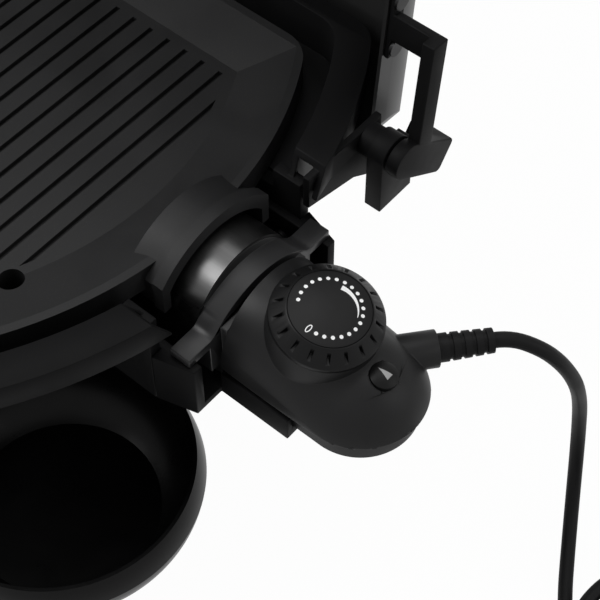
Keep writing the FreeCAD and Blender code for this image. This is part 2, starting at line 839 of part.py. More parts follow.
def controller_cradle():
    """The trough between the cheeks that the control slides into, with its tongue."""
    half = d.notch_half_width - d.cradle_gap / 4
    wide = half + d.cheek_thick
    front_half = wide - d.cradle_taper
    step = d.cheek_front + d.cradle_gap
    outline = [(d.cheek_back, half), (step, half), (step, wide), (d.cradle_front, front_half),
               (d.cradle_front, d.tongue_half_width), (d.tongue_front, d.tongue_half_width)]
    corners = [(x, -y) for x, y in outline] + [(x, y) for x, y in reversed(outline)]
    block = extruded("xy", (CRADLE_BOTTOM, EAR_SEAT), corners)
    well_half = d.notch_half_width - d.cradle_wall
    well = box((d.cheek_back - 1, d.cradle_front), (-well_half, well_half), (CRADLE_FLOOR, EAR_SEAT + 1))
    rim = d.plate_level - d.tongue_rim_drop
    above = box((d.cradle_front, d.tongue_front + 1), (-well_half, well_half), (rim, EAR_SEAT + 1))
    seat = d.plate_level - d.lower_drop - d.cradle_gap
    tray_half = d.lower_half_width + d.cradle_gap
    tray = box((d.cradle_front - 1, d.tongue_front + 1), (-tray_half, tray_half), (seat, EAR_SEAT))
    holes = [cradle_screw(screw_hole, *spot) for spot in cradle_screw_spots()]
    return node("controller_cradle", cut(block, well, above, tray, *holes))


def cradle_screws():
    """Screws that hold the cradle between the cheeks."""
    return node("cradle_screws", several(*[cradle_screw(screw, *spot) for spot in cradle_screw_spots()]))


def leg_screw_spots():
    """Where the leg plates are screwed to the pan: X, Y."""
    spots = []
    for side in SIDES:
        for y in (d.leg_front, d.leg_back):
            for offset in SIDES:
                spots.append((d.leg_x * side + d.leg_plate_length * (0.36 * offset), y))
    return spots


def leg_screw(make, x, y):
    """A leg screw, or its hole, from the pan's floor downwards."""
    return make("z", 1, PAN_FLOOR, x, y, d.pan_sheet + d.leg_plate)


def reflector_pan():
    """The bright sheet pan below the element, hung in the frame by its flange."""
    sheet = d.pan_sheet
    top = LEDGE_TOP + sheet
    shell = barrel(d.pan_radius, d.pan_half_depth, (PAN_BOTTOM, top))
    flange = barrel(RING_INNER - d.pan_flange_gap, RING_INNER_HALF - d.pan_flange_gap, (LEDGE_TOP, top),
                    d.ring_corner)
    inside = barrel(d.pan_radius - sheet, d.pan_half_depth - sheet, (PAN_FLOOR, top + 1))
    half = d.notch_half_width + d.cheek_thick + d.pan_hole_gap
    notch = box((d.cheek_back - d.hood_depth, RING_OUTER), (-half, half), (PAN_FLOOR, top + 1))
    hole = cylinder(d.drain_bore + d.drain_wall + d.pan_hole_gap, (PAN_BOTTOM - 1, PAN_FLOOR + 1), "z",
                    d.drain_x, d.drain_y)
    holes = [leg_screw(screw_hole, *spot) for spot in leg_screw_spots()]
    return node("reflector_pan", cut(fuse(shell, flange), inside, notch, hole, *holes))


def leg_frames():
    """Two bent legs, each a sled from front to back with a plate at both tops."""
    top = PAN_BOTTOM - d.leg_plate
    for side, name in ((-1, "leg_frame_left"), (1, "leg_frame_right")):
        x = d.leg_x * side
        spots = [(d.leg_front, top), (d.leg_front, LEG_AXIS_Z), (d.leg_back, LEG_AXIS_Z), (d.leg_back, top)]
        points = [Vector(x.value, y.value, z.value) for y, z in spots]
        tube = solid(tube_along(rounded_path(points, [d.leg_bend.value] * 2), d.leg_radius.value))
        plates = [box((x - d.leg_plate_length / 2, x + d.leg_plate_length / 2),
                      (y - d.leg_plate_width / 2, y + d.leg_plate_width / 2), (top, PAN_BOTTOM))
                  for y in (d.leg_front, d.leg_back)]
        holes = [leg_screw(screw_hole, *spot) for spot in leg_screw_spots()]
        if side > 0:
            holes += [shelf_screw(screw_hole, y) for y in shelf_screw_spots()]
        node(name, cut(fuse(tube, *plates), *holes))
    return node("leg_screws", several(*[leg_screw(screw, *spot) for spot in leg_screw_spots()]))


def rubber_feet():
    """Soft shoes under the legs, on which the grill stands."""
    feet = []
    for side in SIDES:
        for y, sense in ((d.leg_front, 1), (d.leg_back, -1)):
            middle = y + sense * (d.leg_bend + d.foot_width / 2)
            x = d.leg_x * side
            across = (middle - d.foot_width / 2, middle + d.foot_width / 2)
            shoe = box((x - d.foot_length / 2, x + d.foot_length / 2), across, (0, d.foot_sole + d.foot_grip))
            feet.append(cut(shoe, cylinder(d.leg_radius, across, "y", x, LEG_AXIS_Z)))
    return node("rubber_feet", several(*feet))


def shelf_screw_spots():
    """Where the bowl's shelf is screwed to the leg: Y."""
    third = (d.shelf_back - d.shelf_tab_front) / 3
    return (d.shelf_tab_front + third, d.shelf_back - third)


def shelf_screw(make, y):
    """A shelf screw, or its hole, from the shelf's top into the leg."""
    return make("z", 1, SHELF_TOP, d.leg_x, y, d.shelf_sheet + d.leg_radius)


def bowl_shelf():
    """The sheet shelf under the bowl, screwed onto the right-hand leg."""
    bottom = SHELF_TOP - d.shelf_sheet
    inner = d.leg_x - d.leg_radius - d.shelf_sheet
    outline = [(inner, d.shelf_tab_front), (d.shelf_left, d.shelf_tab_front), (d.shelf_left, d.shelf_front),
               (d.shelf_right, d.shelf_front), (d.shelf_right, d.shelf_back), (inner, d.shelf_back)]
    sheet = extruded("xy", (bottom, SHELF_TOP), outline)
    holes = [shelf_screw(screw_hole, y) for y in shelf_screw_spots()]
    node("bowl_shelf", cut(sheet, *holes))
    return node("shelf_screws", several(*[shelf_screw(screw, y) for y in shelf_screw_spots()]))


def grease_bowl():
    """A round-bellied bowl that catches what runs out of the spout."""
    wall = d.bowl_wall
    corners = [(0, 0), (d.bowl_foot_radius, 0), (d.bowl_belly_radius, d.bowl_belly_height),
               (d.bowl_rim_radius, d.bowl_height), (d.bowl_rim_radius - wall, d.bowl_height),
               (d.bowl_belly_radius - wall, d.bowl_belly_height), (d.bowl_foot_radius, wall), (0, wall)]
    arcs = {1: (d.bowl_lower_round, 1), 2: (d.bowl_upper_round, 1),
            4: (d.bowl_upper_round - wall, -1), 5: (d.bowl_lower_round - wall, -1)}
    spot = Vector(d.bowl_x.value, d.bowl_y.value, SHELF_TOP.value)
    return node("grease_bowl", moved(revolved(corners, arcs), Placement(spot, Rotation())))


def hinge_parts():
    """On each side the clip on the panel with its stop tab, and the pin from the panel into the lid's arm."""
    for side, word in ((-1, "left"), (1, "right")):
        face = d.panel_inner + d.panel_thick
        boss = cylinder(d.boss_radius, ordered(face * side, (d.clip_back + 1) * side), "x", d.hinge_y, HINGE_Z)
        across = ordered(d.clip_back * side, d.clip_end * side)
        clip = cylinder(d.knuckle_radius, across, "x", d.hinge_y, HINGE_Z)
        front = d.hinge_y - d.knuckle_radius
        tab = box(across, (front, front + d.tab_depth), (HINGE_Z - d.tab_drop, HINGE_Z))
        pin_hole = cylinder(d.hinge_pin_radius, ordered(face * side * 0.99, (d.clip_end + 1) * side), "x",
                            d.hinge_y, HINGE_Z)
        node(f"hinge_clip_{word}", cut(fuse(boss, clip, tab), pin_hole))
        pin_end = d.arm_outer - d.lug_cap - d.pin_end_gap
        pin = cylinder(d.hinge_pin_radius, ordered(d.panel_inner * side, pin_end * side), "x", d.hinge_y, HINGE_Z)
        node(f"hinge_pin_{word}", several(pin))


# Lid, drawn shut and then swung open


def lid_swing():
    """The turn about the hinge that opens the lid."""
    axis = Vector(0, d.hinge_y.value, HINGE_Z.value)
    return Placement(Vector(), Rotation(Vector(1, 0, 0), -d.lid_open.value), axis)


def lid_form(inset):
    """The lid's solid form, drawn in by an inset: round front and back, round shoulders, round plan."""
    end = d.lid_end_radius - inset
    side, plan = d.lid_side - inset, d.lid_plan_radius - inset
    low = RING_TOP + d.lid_gap
    rise = low - HINGE_Z
    reach = root(end * end - rise * rise)
    top = HINGE_Z + end
    peak = top + d.lid_crown
    crown_radius = (d.hinge_y * d.hinge_y + d.lid_crown * d.lid_crown) / (d.lid_crown * 2)
    section = [(d.hinge_y + reach, low), (d.hinge_y, top), (-d.hinge_y, top), (-d.hinge_y - reach, low)]
    loaf = extruded("yz", (-plan, plan), section,
                    {0: (end, 1), 1: (crown_radius, 1), 2: (end, 1)})
    shoulder = d.lid_shoulder - inset
    arch = [(side, low), (side, peak - shoulder), (side - shoulder, peak),
            (-side + shoulder, peak), (-side, peak - shoulder), (-side, low)]
    hall = extruded("xz", (-plan, plan), arch, {1: (shoulder, 1), 3: (shoulder, 1)})
    return common(loaf, hall, cylinder(plan, (low, peak), "z", 0, 0))


def handle_spots():
    """Where the two handle posts stand: X."""
    return [d.handle_post_x * side for side in SIDES]


def lid_parts():
    """The lid's shell, its handle and the two arms that carry it on the hinge pins."""
    swing = lid_swing()
    handle_z = HINGE_Z + d.handle_rise
    reach = root(d.lid_end_radius * d.lid_end_radius - d.handle_rise * d.handle_rise)
    front = -d.hinge_y - reach
    grip_y = front - d.handle_post_length
    screw_face = front + d.lid_sheet * 2.7
    posts, screws, holes = [], [], []
    for x in handle_spots():
        post = cylinder(d.handle_post_radius, (grip_y, front + d.handle_post_radius), "y", x, handle_z)
        posts.append(cut(post, lid_form(0)))
        screws.append(screw("y", 1, screw_face, x, handle_z, d.handle_post_length / 2))
        holes.append(screw_hole("y", 1, screw_face, x, handle_z, d.handle_post_length / 2))
    rivet_holes = [rivet(d.rivet_radius, side, offset, 0) for side in SIDES for offset in SIDES]
    shell = cut(lid_form(0), lid_form(d.lid_sheet), *holes, *rivet_holes)
    node("lid_shell", moved(shell, swing))
    grip = cylinder(d.grip_radius, (-d.grip_half_length, d.grip_half_length), "x", grip_y, handle_z)
    bores = [cylinder(d.handle_post_radius, (grip_y - 1, grip_y + d.grip_radius * 2), "y", x, handle_z)
             for x in handle_spots()]
    node("lid_handle_grip", moved(cut(grip, *bores), swing))
    node("lid_handle_posts", moved(several(*[cut(post, hole) for post, hole in zip(posts, holes)]), swing))
    node("lid_handle_screws", moved(several(*screws), swing))
    for side, word in ((-1, "left"), (1, "right")):
        node(f"lid_arm_{word}", moved(lid_arm(side), swing))
    rivets = [fuse(rivet(d.rivet_radius, side, offset, 0), rivet(d.rivet_radius * 1.8, side, offset, 1))
              for side in SIDES for offset in SIDES]
    node("lid_arm_rivets", moved(several(*rivets), swing))


def arm_web_y():
    """The middle of the web that joins an arm to the lid's side wall."""
    return d.hinge_y - d.arm_reach + d.arm_web_length / 2


def arm_pad_z():
    """The span of an arm's pad on the lid's side wall."""
    low = RING_TOP + d.lid_gap * 2
    return (low, low + d.arm_pad_height)


def rivet(radius, side, offset, part):
    """A rivet's shank (part 0) through sheet and pad, or its head (part 1) on the pad."""
    y = arm_web_y() + d.arm_pad_half_length * (0.72 * offset)
    low, high = arm_pad_z()
    inner = d.lid_side - d.lid_sheet
    outer = d.lid_side + d.arm_pad
    span = (inner, outer) if part == 0 else (outer, outer + d.rivet_head)
    return cylinder(radius, ordered(span[0] * side, span[1] * side), "x", y, (low + high) / 2)


def lid_lug(side):
    """The lug behind the hinge pin, whose hook stops at the clip's tab when the lid is open."""
    half = d.lug_half_width
    hook_back = d.lug_length - d.hook_length
    bar = box(ordered(d.arm_inner * side, d.arm_outer * side), (0, hook_back), (-half, half))
    hook = box(ordered((d.arm_inner - d.hook_reach) * side, d.arm_outer * side), (hook_back, d.lug_length),
               (-half, half))
    end = d.lug_length.value
    soft = rounded(hook, d.lug_round, lambda edge: edge.BoundBox.XLength > 1 and edge.BoundBox.YMin > end - 0.01)
    axis = Vector(0, d.hinge_y.value, HINGE_Z.value)
    return moved(fuse(bar, soft), Placement(axis, Rotation(Vector(1, 0, 0), (d.lid_open - d.lug_dip).value)))


def lid_arm(side):
    """An arm along the lid's rim from the hinge lug to a web and a pad on the lid's side wall."""
    across = ordered(d.arm_inner * side, d.arm_outer * side)
    front = d.hinge_y - d.arm_reach
    top = HINGE_Z + d.arm_rise + d.arm_width
    knuckle = cylinder(d.lug_half_width, across, "x", d.hinge_y, HINGE_Z)
    bar = box(across, (front, d.hinge_y), (HINGE_Z + d.arm_rise, top))
    pad_z = arm_pad_z()
    web = box(ordered(d.lid_side * side, (d.arm_inner + 1) * side), (front, front + d.arm_web_length), (pad_z[0], top))
    middle = arm_web_y()
    pad = box(ordered(d.lid_side * side, (d.lid_side + d.arm_pad) * side),
              (middle - d.arm_pad_half_length, middle + d.arm_pad_half_length), pad_z)
    bore = cylinder(d.hinge_pin_radius + d.hinge_running,
                    ordered((d.arm_inner - 1) * side, (d.arm_outer - d.lug_cap) * side), "x", d.hinge_y, HINGE_Z)
    holes = [rivet(d.rivet_radius, side, offset, 0) for offset in SIDES]
    return cut(fuse(knuckle, lid_lug(side), bar, web, pad), bore, *holes)


# Plug-in control


def horseshoe(x, inset):
    """The sleeve's form, drawn in by an inset: an arch over straight sides that step in below the cradle's rim."""
    axis_z = d.plate_level - d.sleeve_axis_drop
    step_z = d.plate_level - d.tongue_rim_drop + d.cradle_gap + inset
    bottom = d.plate_level - d.sleeve_bottom_drop + inset
    low_half = d.lower_half_width - inset
    wide = d.sleeve_radius - inset
    crown = common(cylinder(wide, x, "x", 0, axis_z), box(x, (-wide, wide), (axis_z, axis_z + wide * 1.1)))
    sides = box(x, (-wide, wide), (step_z, axis_z))
    foot = box(x, (-low_half, low_half), (bottom, step_z))
    return fuse(crown, sides, foot)


def steel_sleeve():
    """The bright sleeve that enters the hood."""
    outside = horseshoe((d.sleeve_back, d.flange_back), 0)
    inside = horseshoe((d.sleeve_back - 1, d.flange_back), d.sleeve_sheet)
    return node("steel_sleeve", cut(outside, inside))


def controller_flange():
    """The arched collar with two ears that rest on the cradle, and the neck to the body."""
    axis_z = d.plate_level - d.flange_axis_drop
    step_z = d.plate_level - d.tongue_rim_drop + d.cradle_gap
    x = (d.flange_back, d.flange_front)
    half = d.flange_half_width
    arch = common(cylinder(d.flange_radius, x, "x", 0, axis_z),
                  box(x, (-half, half), (step_z, axis_z + d.flange_radius * 1.1)))
    low_half = d.lower_half_width
    foot = box(x, (-low_half, low_half), (d.plate_level - d.lower_drop, step_z + 1))
    ear_bottom = EAR_SEAT + d.cradle_gap
    span = d.ear_half_span
    ears = box(x, (-span, span), (ear_bottom, ear_bottom + d.ear_thick))
    crease_z = ear_bottom.value + d.ear_thick.value
    collar = rounded(fuse(arch, ears, foot), d.ear_round,
                     lambda edge: abs(edge.CenterOfMass.z - crease_z) < 0.01 and edge.BoundBox.ZLength < 0.01
                     and edge.BoundBox.YLength < 0.01 and abs(edge.CenterOfMass.y) < span.value - 1)
    neck_half = d.neck_half_width
    neck = box((d.flange_front, d.body_back), (-neck_half, neck_half),
               (d.plate_level - d.lower_drop, d.plate_level - d.neck_top_drop))
    spigot_back = d.flange_back - d.spigot_depth
    spigot = horseshoe((spigot_back, d.flange_back + d.spigot_gap), d.sleeve_sheet + d.spigot_gap)
    sockets = [cylinder(d.receptacle_radius, (spigot_back - 1, d.flange_back + d.receptacle_depth), "x",
                        d.terminal_half_gap * side, TERMINAL_Z) for side in SIDES]
    probe = cylinder(d.probe_radius, (spigot_back - 1, d.flange_front), "x", 0, PROBE_Z)
    return node("controller_flange", cut(fuse(collar, neck, spigot), probe, *sockets))


def receptacles():
    """The two spring sockets that take the terminal pins."""
    sockets = []
    for side in SIDES:
        y = d.terminal_half_gap * side
        x = (d.receptacle_back, d.flange_back + d.receptacle_depth)
        bore = cylinder(d.terminal_radius + d.terminal_clearance, (d.receptacle_back - 1, d.flange_back), "x",
                        y, TERMINAL_Z)
        sockets.append(cut(cylinder(d.receptacle_radius, x, "x", y, TERMINAL_Z), bore))
    return node("receptacles", several(*sockets))


def probe_rod():
    """The temperature probe, from the collar into the griddle's socket."""
    return node("probe_rod", several(cylinder(d.probe_radius, (d.probe_back, d.flange_front), "x", 0, PROBE_Z)))


def knob_seat():
    """The knob's local frame: on the body's sloping top, with its axis square to it."""
    top = d.plate_level - d.body_top_drop
    return Placement(Vector(d.knob_x.value, 0, top.value), Rotation(Vector(0, 1, 0), d.body_tilt.value))


def body_form():
    """The control's rounded back: a barrel along the slope with a ball end, cut off at the split."""
    radius = d.body_half_width
    tilt = math.radians(d.body_tilt.value)
    reach = (d.body_end - d.knob_x + radius * math.sin(tilt)) / math.cos(tilt)
    ball = doc.addObject("Part::Sphere", "ball")
    bind(ball, "Radius", radius)
    place(ball, reach, 0, -radius)
    back = moved(fuse(cylinder(radius, (-radius * 3, reach), "x", 0, -radius), ball), knob_seat())
    room = box((d.body_back, d.body_end + radius * 1.2), (-radius * 1.1, radius * 1.1),
               (BODY_SPLIT, d.plate_level + radius))
    return common(back, room)


def relief_frame():
    """The strain relief's local frame: level, with its axis out of the body's rounded end."""
    heading = math.radians(d.relief_heading.value)
    out = Vector(math.cos(heading), math.sin(heading), 0)
    spot = Vector(d.relief_x.value, d.relief_y.value, d.plate_level.value - d.relief_drop.value)
    return Placement(spot, Rotation(Vector(0, 0, 1), out)), out


def shell_screw_spots():
    """Where the two body shells are screwed together: X, Y."""
    inset = d.cavity_half_width / 5
    return [(d.body_back + inset * 1.6, 0), (d.body_end + d.cavity_half_width - inset, 0)]


def shell_screw(make, x, y):
    """A shell screw, or its hole, from below."""
    return make("z", -1, d.plate_level - d.lower_drop + d.screw_head, x, y, d.screw_radius * 6)


def controller_shells():
    """The upper shell with the knob's collar and the cord's boss, and the narrower lower shell."""
    collar = moved(cylinder(d.collar_radius, (-d.collar_depth, d.collar_rise), "z", 0, 0), knob_seat())
    frame = relief_frame()[0]
    boss = moved(cylinder(d.relief_boss_radius, (-d.relief_boss_depth, -d.relief_boss_gap), "z", 0, 0), frame)
    ceiling = d.plate_level - d.cavity_top_drop
    cavity_back = d.body_back + d.body_half_width - d.cavity_half_width
    cavity = stadium(cavity_back, d.body_end, d.cavity_half_width, (BODY_SPLIT - 1, ceiling))
    shaft_bore = moved(cylinder(d.shaft_radius + d.shaft_running, (-d.body_half_width, d.body_half_width), "z",
                                0, 0), knob_seat())
    lens_bore = moved(cylinder(d.lens_radius, (-d.lens_depth, d.lens_depth), "z", lens_offset(), 0), knob_seat())
    relief_bore = moved(cylinder(d.relief_root_radius + d.relief_clearance,
                                 (-d.relief_root - d.relief_clearance, d.relief_length), "z", 0, 0), frame)
    holes = [shell_screw(screw_hole, *spot) for spot in shell_screw_spots()]
    posts = [cylinder(d.screw_head_radius, (BODY_SPLIT, ceiling + 1), "z", *spot) for spot in shell_screw_spots()]
    hollow = cut(fuse(body_form(), collar, boss), cavity, shaft_bore, lens_bore)
    node("controller_upper_shell", cut(fuse(hollow, *posts), relief_bore, *holes))
    floor = d.plate_level - d.lower_drop
    lower = stadium(d.body_back, d.body_end, d.lower_half_width, (floor, BODY_SPLIT))
    heads = [cylinder(d.screw_head_radius + d.screw_hole_gap, (floor - 1, floor + d.screw_head), "z", *spot)
             for spot in shell_screw_spots()]
    node("controller_lower_shell", cut(lower, *holes, *heads))
    return node("shell_screws", several(*[shell_screw(screw, *spot) for spot in shell_screw_spots()]))


def lens_offset():
    """How far the pointer lens lies from the knob's axis along the slope."""
    return (d.lens_x - d.knob_x) / math.cos(math.radians(d.body_tilt.value))


def pointer_lens():
    """The round domed lens that points at the dial."""
    disc = cylinder(d.lens_radius, (-d.lens_depth, 0), "z", 0, 0)
    ball_radius = (d.lens_radius * d.lens_radius + d.lens_rise * d.lens_rise) / (d.lens_rise * 2)
    dome = revolved([(0, 0), (d.lens_radius, 0), (0, d.lens_rise)], {1: (ball_radius, 1)})
    seat = knob_seat().multiply(Placement(Vector(lens_offset().value, 0, 0), Rotation()))
    return node("pointer_lens", moved(fuse(disc, dome), seat))


def thermostat_block():
    """The switch block in the body, below the knob's shaft."""
    half = d.thermostat_half_width
    top = d.plate_level - d.cavity_top_drop - d.thermostat_gap
    back = shell_screw_spots()[0][0] + d.screw_head_radius + d.thermostat_back
    block = box((back, d.body_end - d.thermostat_front), (-half, half), (BODY_SPLIT, top))
    return node("thermostat_block", several(block))


def control_knob():
    """The knob: a notched grip ring round a domed face, on its shaft."""
    gap = d.collar_rise + d.knob_gap
    dome_radius = (d.knob_face_radius * d.knob_face_radius + d.knob_dome * d.knob_dome) / (d.knob_dome * 2)
    corners = [(0, gap), (d.knob_radius, gap), (d.knob_radius, gap + d.knob_wall_height),
               (d.knob_face_radius, gap + d.knob_face_height), (0, gap + d.knob_face_height + d.knob_dome)]
    blank = revolved(corners, {3: (dome_radius, 1)})
    slots = []
    for count in range(KNOB_NOTCHES):
        angle = 2 * math.pi * (count + 0.5) / KNOB_NOTCHES
        ray = (math.cos(angle), math.sin(angle))
        half = d.notch_width / 2
        slot = doc.addObject("Part::Box", "notch")
        slot.Placement = Placement(Vector(), Rotation(Vector(0, 0, 1), math.degrees(angle)))
        bind(slot, "Length", d.knob_radius * 1.1 - d.notch_inner)
        bind(slot, "Width", d.notch_width)
        bind(slot, "Height", d.knob_face_height)
        slots.append(place(slot, d.notch_inner * ray[0] + half * ray[1],
                           d.notch_inner * ray[1] - half * ray[0], gap + d.notch_floor))
    bore = cylinder(d.shaft_radius, (gap - 1, gap + d.shaft_grip), "z", 0, 0)
    node("control_knob", moved(cut(blank, bore, *slots), knob_seat()))
    below = d.cavity_top_drop - d.body_top_drop - d.thermostat_gap
    shaft = cylinder(d.shaft_radius, (-below, gap + d.shaft_grip), "z", 0, 0)
    return node("knob_shaft", moved(shaft, knob_seat()))


def strain_relief():
    """The ribbed sleeve that holds the cord at the control."""
    neck = d.relief_root_radius
    first = d.relief_plain
    corners = [(0, -d.relief_root), (neck, -d.relief_root), (neck, first)]
    step = (d.relief_length - first) / RELIEF_RIBS
    fall = (neck - d.relief_tip_radius) / RELIEF_RIBS
    for rib in range(RELIEF_RIBS):
        outer = neck - fall * rib
        inner = outer - d.relief_rib_depth
        begin = first + step * rib
        corners += [(inner, begin), (inner, begin + step * 0.4), (outer - fall * 0.5, begin + step * 0.4),
                    (outer - fall, begin + step)]
    corners.append((0, d.relief_length))
    return node("strain_relief", moved(revolved(corners), relief_frame()[0]))


# Cord


def coil_lay():
    """The coil's centre on the table, its first angle and the turns at which it climbs and ends."""
    start, before = cord_points()[-1], cord_points()[-2]
    first_angle = math.atan2(start.y - before.y, start.x - before.x) - math.pi / 2
    ray = Vector(math.cos(first_angle), math.sin(first_angle), 0)
    return SimpleNamespace(centre=start - ray * d.coil_outer_radius.value, first_angle=first_angle,
                           climb_start=COIL_TURNS_IN, climb_end=COIL_TURNS_IN + COIL_CLIMB,
                           last=2 * COIL_TURNS_IN + COIL_CLIMB)


def coil_radius(turn):
    """The coil's radius after a number of turns: in on the lower layer, out again on the upper one."""
    lay = coil_lay()
    wound = min(turn, lay.climb_start) - max(turn - lay.climb_end, 0)
    return d.coil_outer_radius.value - d.coil_pitch.value * wound


def coil_spot(turn):
    """The point on the coil after a number of turns."""
    lay = coil_lay()
    climb = min(max((turn - lay.climb_start) / COIL_CLIMB, 0), 1)
    rise = d.coil_layer.value * climb * climb * (3 - 2 * climb)
    angle = lay.first_angle + 2 * math.pi * turn
    ray = Vector(math.cos(angle), math.sin(angle), 0)
    return lay.centre + ray * coil_radius(turn) + Vector(0, 0, rise)


def coil_points():
    """Points and tangents of the coil, each station a quarter turn from the last."""
    stations = [count / 4 for count in range(int(coil_lay().last * 4) + 1)]
    nudge = 1e-3
    tangents = [(coil_spot(turn + nudge) - coil_spot(turn - nudge)).normalize() for turn in stations]
    tangents[0] = (cord_points()[-1] - cord_points()[-2]).normalize()
    return [coil_spot(turn) for turn in stations], tangents


def biarc(begin, leaving, end, arriving):
    """Two tangent arcs from one point and direction to another."""
    chord = end - begin
    bend = 2 * (1 - leaving.dot(arriving))
    lean = 2 * chord.dot(leaving + arriving)
    reach = (-lean + math.sqrt(lean ** 2 + 4 * bend * chord.dot(chord))) / (2 * bend)
    first, second = begin + leaving * reach, end - arriving * reach
    joint = (first + second) * 0.5
    return [arc_to(begin, leaving, joint), arc_to(joint, (second - first).normalize(), end)]


def arc_to(begin, leaving, end):
    """The arc that leaves a point in a direction and ends at another."""
    chord = end - begin
    side = (chord - leaving * chord.dot(leaving)).normalize()
    radius = chord.dot(chord) / (2 * chord.dot(side))
    centre = begin + side * radius
    middle = ((begin + end) * 0.5 - centre).normalize()
    return Part.Arc(begin, centre + middle * radius, end).toShape()


def cord_points():
    """The free cord's route: out of the relief, down to the table and away."""
    frame, out = relief_frame()
    tip = frame.Base + out * d.relief_length.value
    drop = tip.z - d.cord_lie.value
    return [tip, tip + out * d.cord_lead.value,
            *[tip + Vector(x, y, -drop * share) for x, y, share in CORD_ROUTE]]


def cord_tube():
    """The free stretch of the cord, with bends as large as its runs allow."""
    points = cord_points()
    radii = []
    for before, corner, after in zip(points, points[1:], points[2:]):
        turn = (corner - before).getAngle(after - corner)
        shorter = min((corner - before).Length, (after - corner).Length)
        radii.append(0.45 * shorter / math.tan(turn / 2))
    print("cord bend radii", [round(radius) for radius in radii])
    path = rounded_path(points, radii)
    tube = tube_along(path, d.cord_radius.value)
    expected = math.pi * d.cord_radius.value ** 2 * path.Length
    print(f"cord volume over section times length {tube.Volume / expected:.4f}")
    return node("cord", solid(tube))


def cord_coil():
    """The rest of the cord as a neat coil of two layers, one unbroken tube with a straight tail."""
    points, tangents = coil_points()
    edges = []
    for begin, leaving, end, arriving in zip(points, tangents, points[1:], tangents[1:]):
        edges += biarc(begin, leaving, end, arriving)
    edges.append(Part.LineSegment(points[-1], coil_end()[0]).toShape())
    path = Part.Wire(edges)
    tube = tube_along(path, d.cord_radius.value)
    print(f"coil length {path.Length:.0f} mm, least gap to itself {least_self_gap(edges):.2f} mm")
    return node("cord_coil", solid(tube))


def coil_end():
    """The end of the coil's tail and its direction."""
    points, tangents = coil_points()
    return points[-1] + tangents[-1] * d.coil_tail.value, tangents[-1]


def least_self_gap(edges):
    """The least gap between stretches of the coil that aren't neighbours along it."""
    spots = []
    for edge in edges:
        spots += edge.discretize(6)[:-1]
    walked = [0.0]
    for before, after in zip(spots, spots[1:]):
        walked.append(walked[-1] + (after - before).Length)
    apart = 12 * d.cord_radius.value
    gaps = [(spots[i] - spots[j]).Length for i in range(len(spots)) for j in range(i)
            if walked[i] - walked[j] > apart]
    return min(gaps) - 2 * d.cord_radius.value


def coil_tie():
    """A flat strap round the coil's bundle."""
    lay = coil_lay()
    radii = [coil_radius(TIE_AT_TURN + count) for count in range(int(lay.last))]
    slack = d.cord_radius + d.tie_gap
    side_slack = d.cord_radius + d.tie_side_gap
    inner, outer = min(radii) - side_slack, max(radii) + side_slack
    low = d.cord_lie - slack
    high = d.cord_lie + d.coil_layer + slack
    sheet = d.tie_sheet
    half = d.tie_width / 2
    strap = cut(box((inner - sheet, outer + sheet), (-half, half), (low - sheet, high + sheet)),
                box((inner, outer), (-half - 1, half + 1), (low, high)))
    angle = math.degrees(lay.first_angle) + 360 * TIE_AT_TURN
    spot = Vector(lay.centre.x, lay.centre.y, 0)
    return node("coil_tie", moved(strap, Placement(spot, Rotation(Vector(0, 0, 1), angle))))


def plug():
    """The mains plug on the end of the cord, and its two pins."""
    begin, heading = coil_end()
    turn = math.degrees(math.atan2(heading.y, heading.x))
    frame = Placement(begin, Rotation(Vector(0, 0, 1), turn))
    half, height = d.plug_half_width, d.plug_half_height
    blank = box((0, d.plug_length), (-half, half), (-height, height))
    body = rounded(blank, d.plug_round, lambda edge: edge.BoundBox.XLength > 1 or edge.BoundBox.XMax < 0.01)
    pins, bores = [], []
    for side in SIDES:
        y = d.plug_pin_half_gap * side
        x = (d.plug_length - d.plug_pin_length / 2, d.plug_length + d.plug_pin_length)
        pins.append(cylinder(d.plug_pin_radius, x, "x", y, 0))
        bores.append(cylinder(d.plug_pin_radius, x, "x", y, 0))
    node("plug_body", moved(cut(body, *bores), frame))
    return node("plug_pins", moved(several(*pins), frame))


def check_and_write():
    """Tests every item and sub-part, then writes one file for each sub-part."""
    doc.recompute()
    for item in doc.Objects:
        if "Invalid" in item.State or "Error" in item.State:
            raise RuntimeError(f"{item.Name} did not build: {item.State}")
    for item in NODES:
        if item.Shape.isNull() or not item.Shape.isValid():
            raise RuntimeError(f"{item.Label} has no valid shape")
    os.makedirs("parts", exist_ok=True)
    for item in NODES:
        item.Shape.exportStep(f"parts/{item.Label}.step")
        print(f"{item.Label}: {len(item.Shape.Solids)} solids, {item.Shape.Volume / 1000:.1f} cm3")


def main():
    """Builds the grill, piece by piece."""
    for build in (griddle_plate, heating_element, terminal_pins, element_clips,
                  base_frame, controller_cradle, cradle_screws, reflector_pan, leg_frames, rubber_feet,
                  bowl_shelf, grease_bowl, hinge_parts, lid_parts,
                  steel_sleeve, controller_flange, receptacles, probe_rod, controller_shells,
                  pointer_lens, thermostat_block, control_knob, strain_relief,
                  cord_tube, cord_coil, coil_tie, plug):
        build()
    check_and_write()


main()
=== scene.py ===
import json
import logging
import math
from dataclasses import dataclass, field
from enum import Enum

import bmesh
import bpy
from mathutils import Matrix, Vector


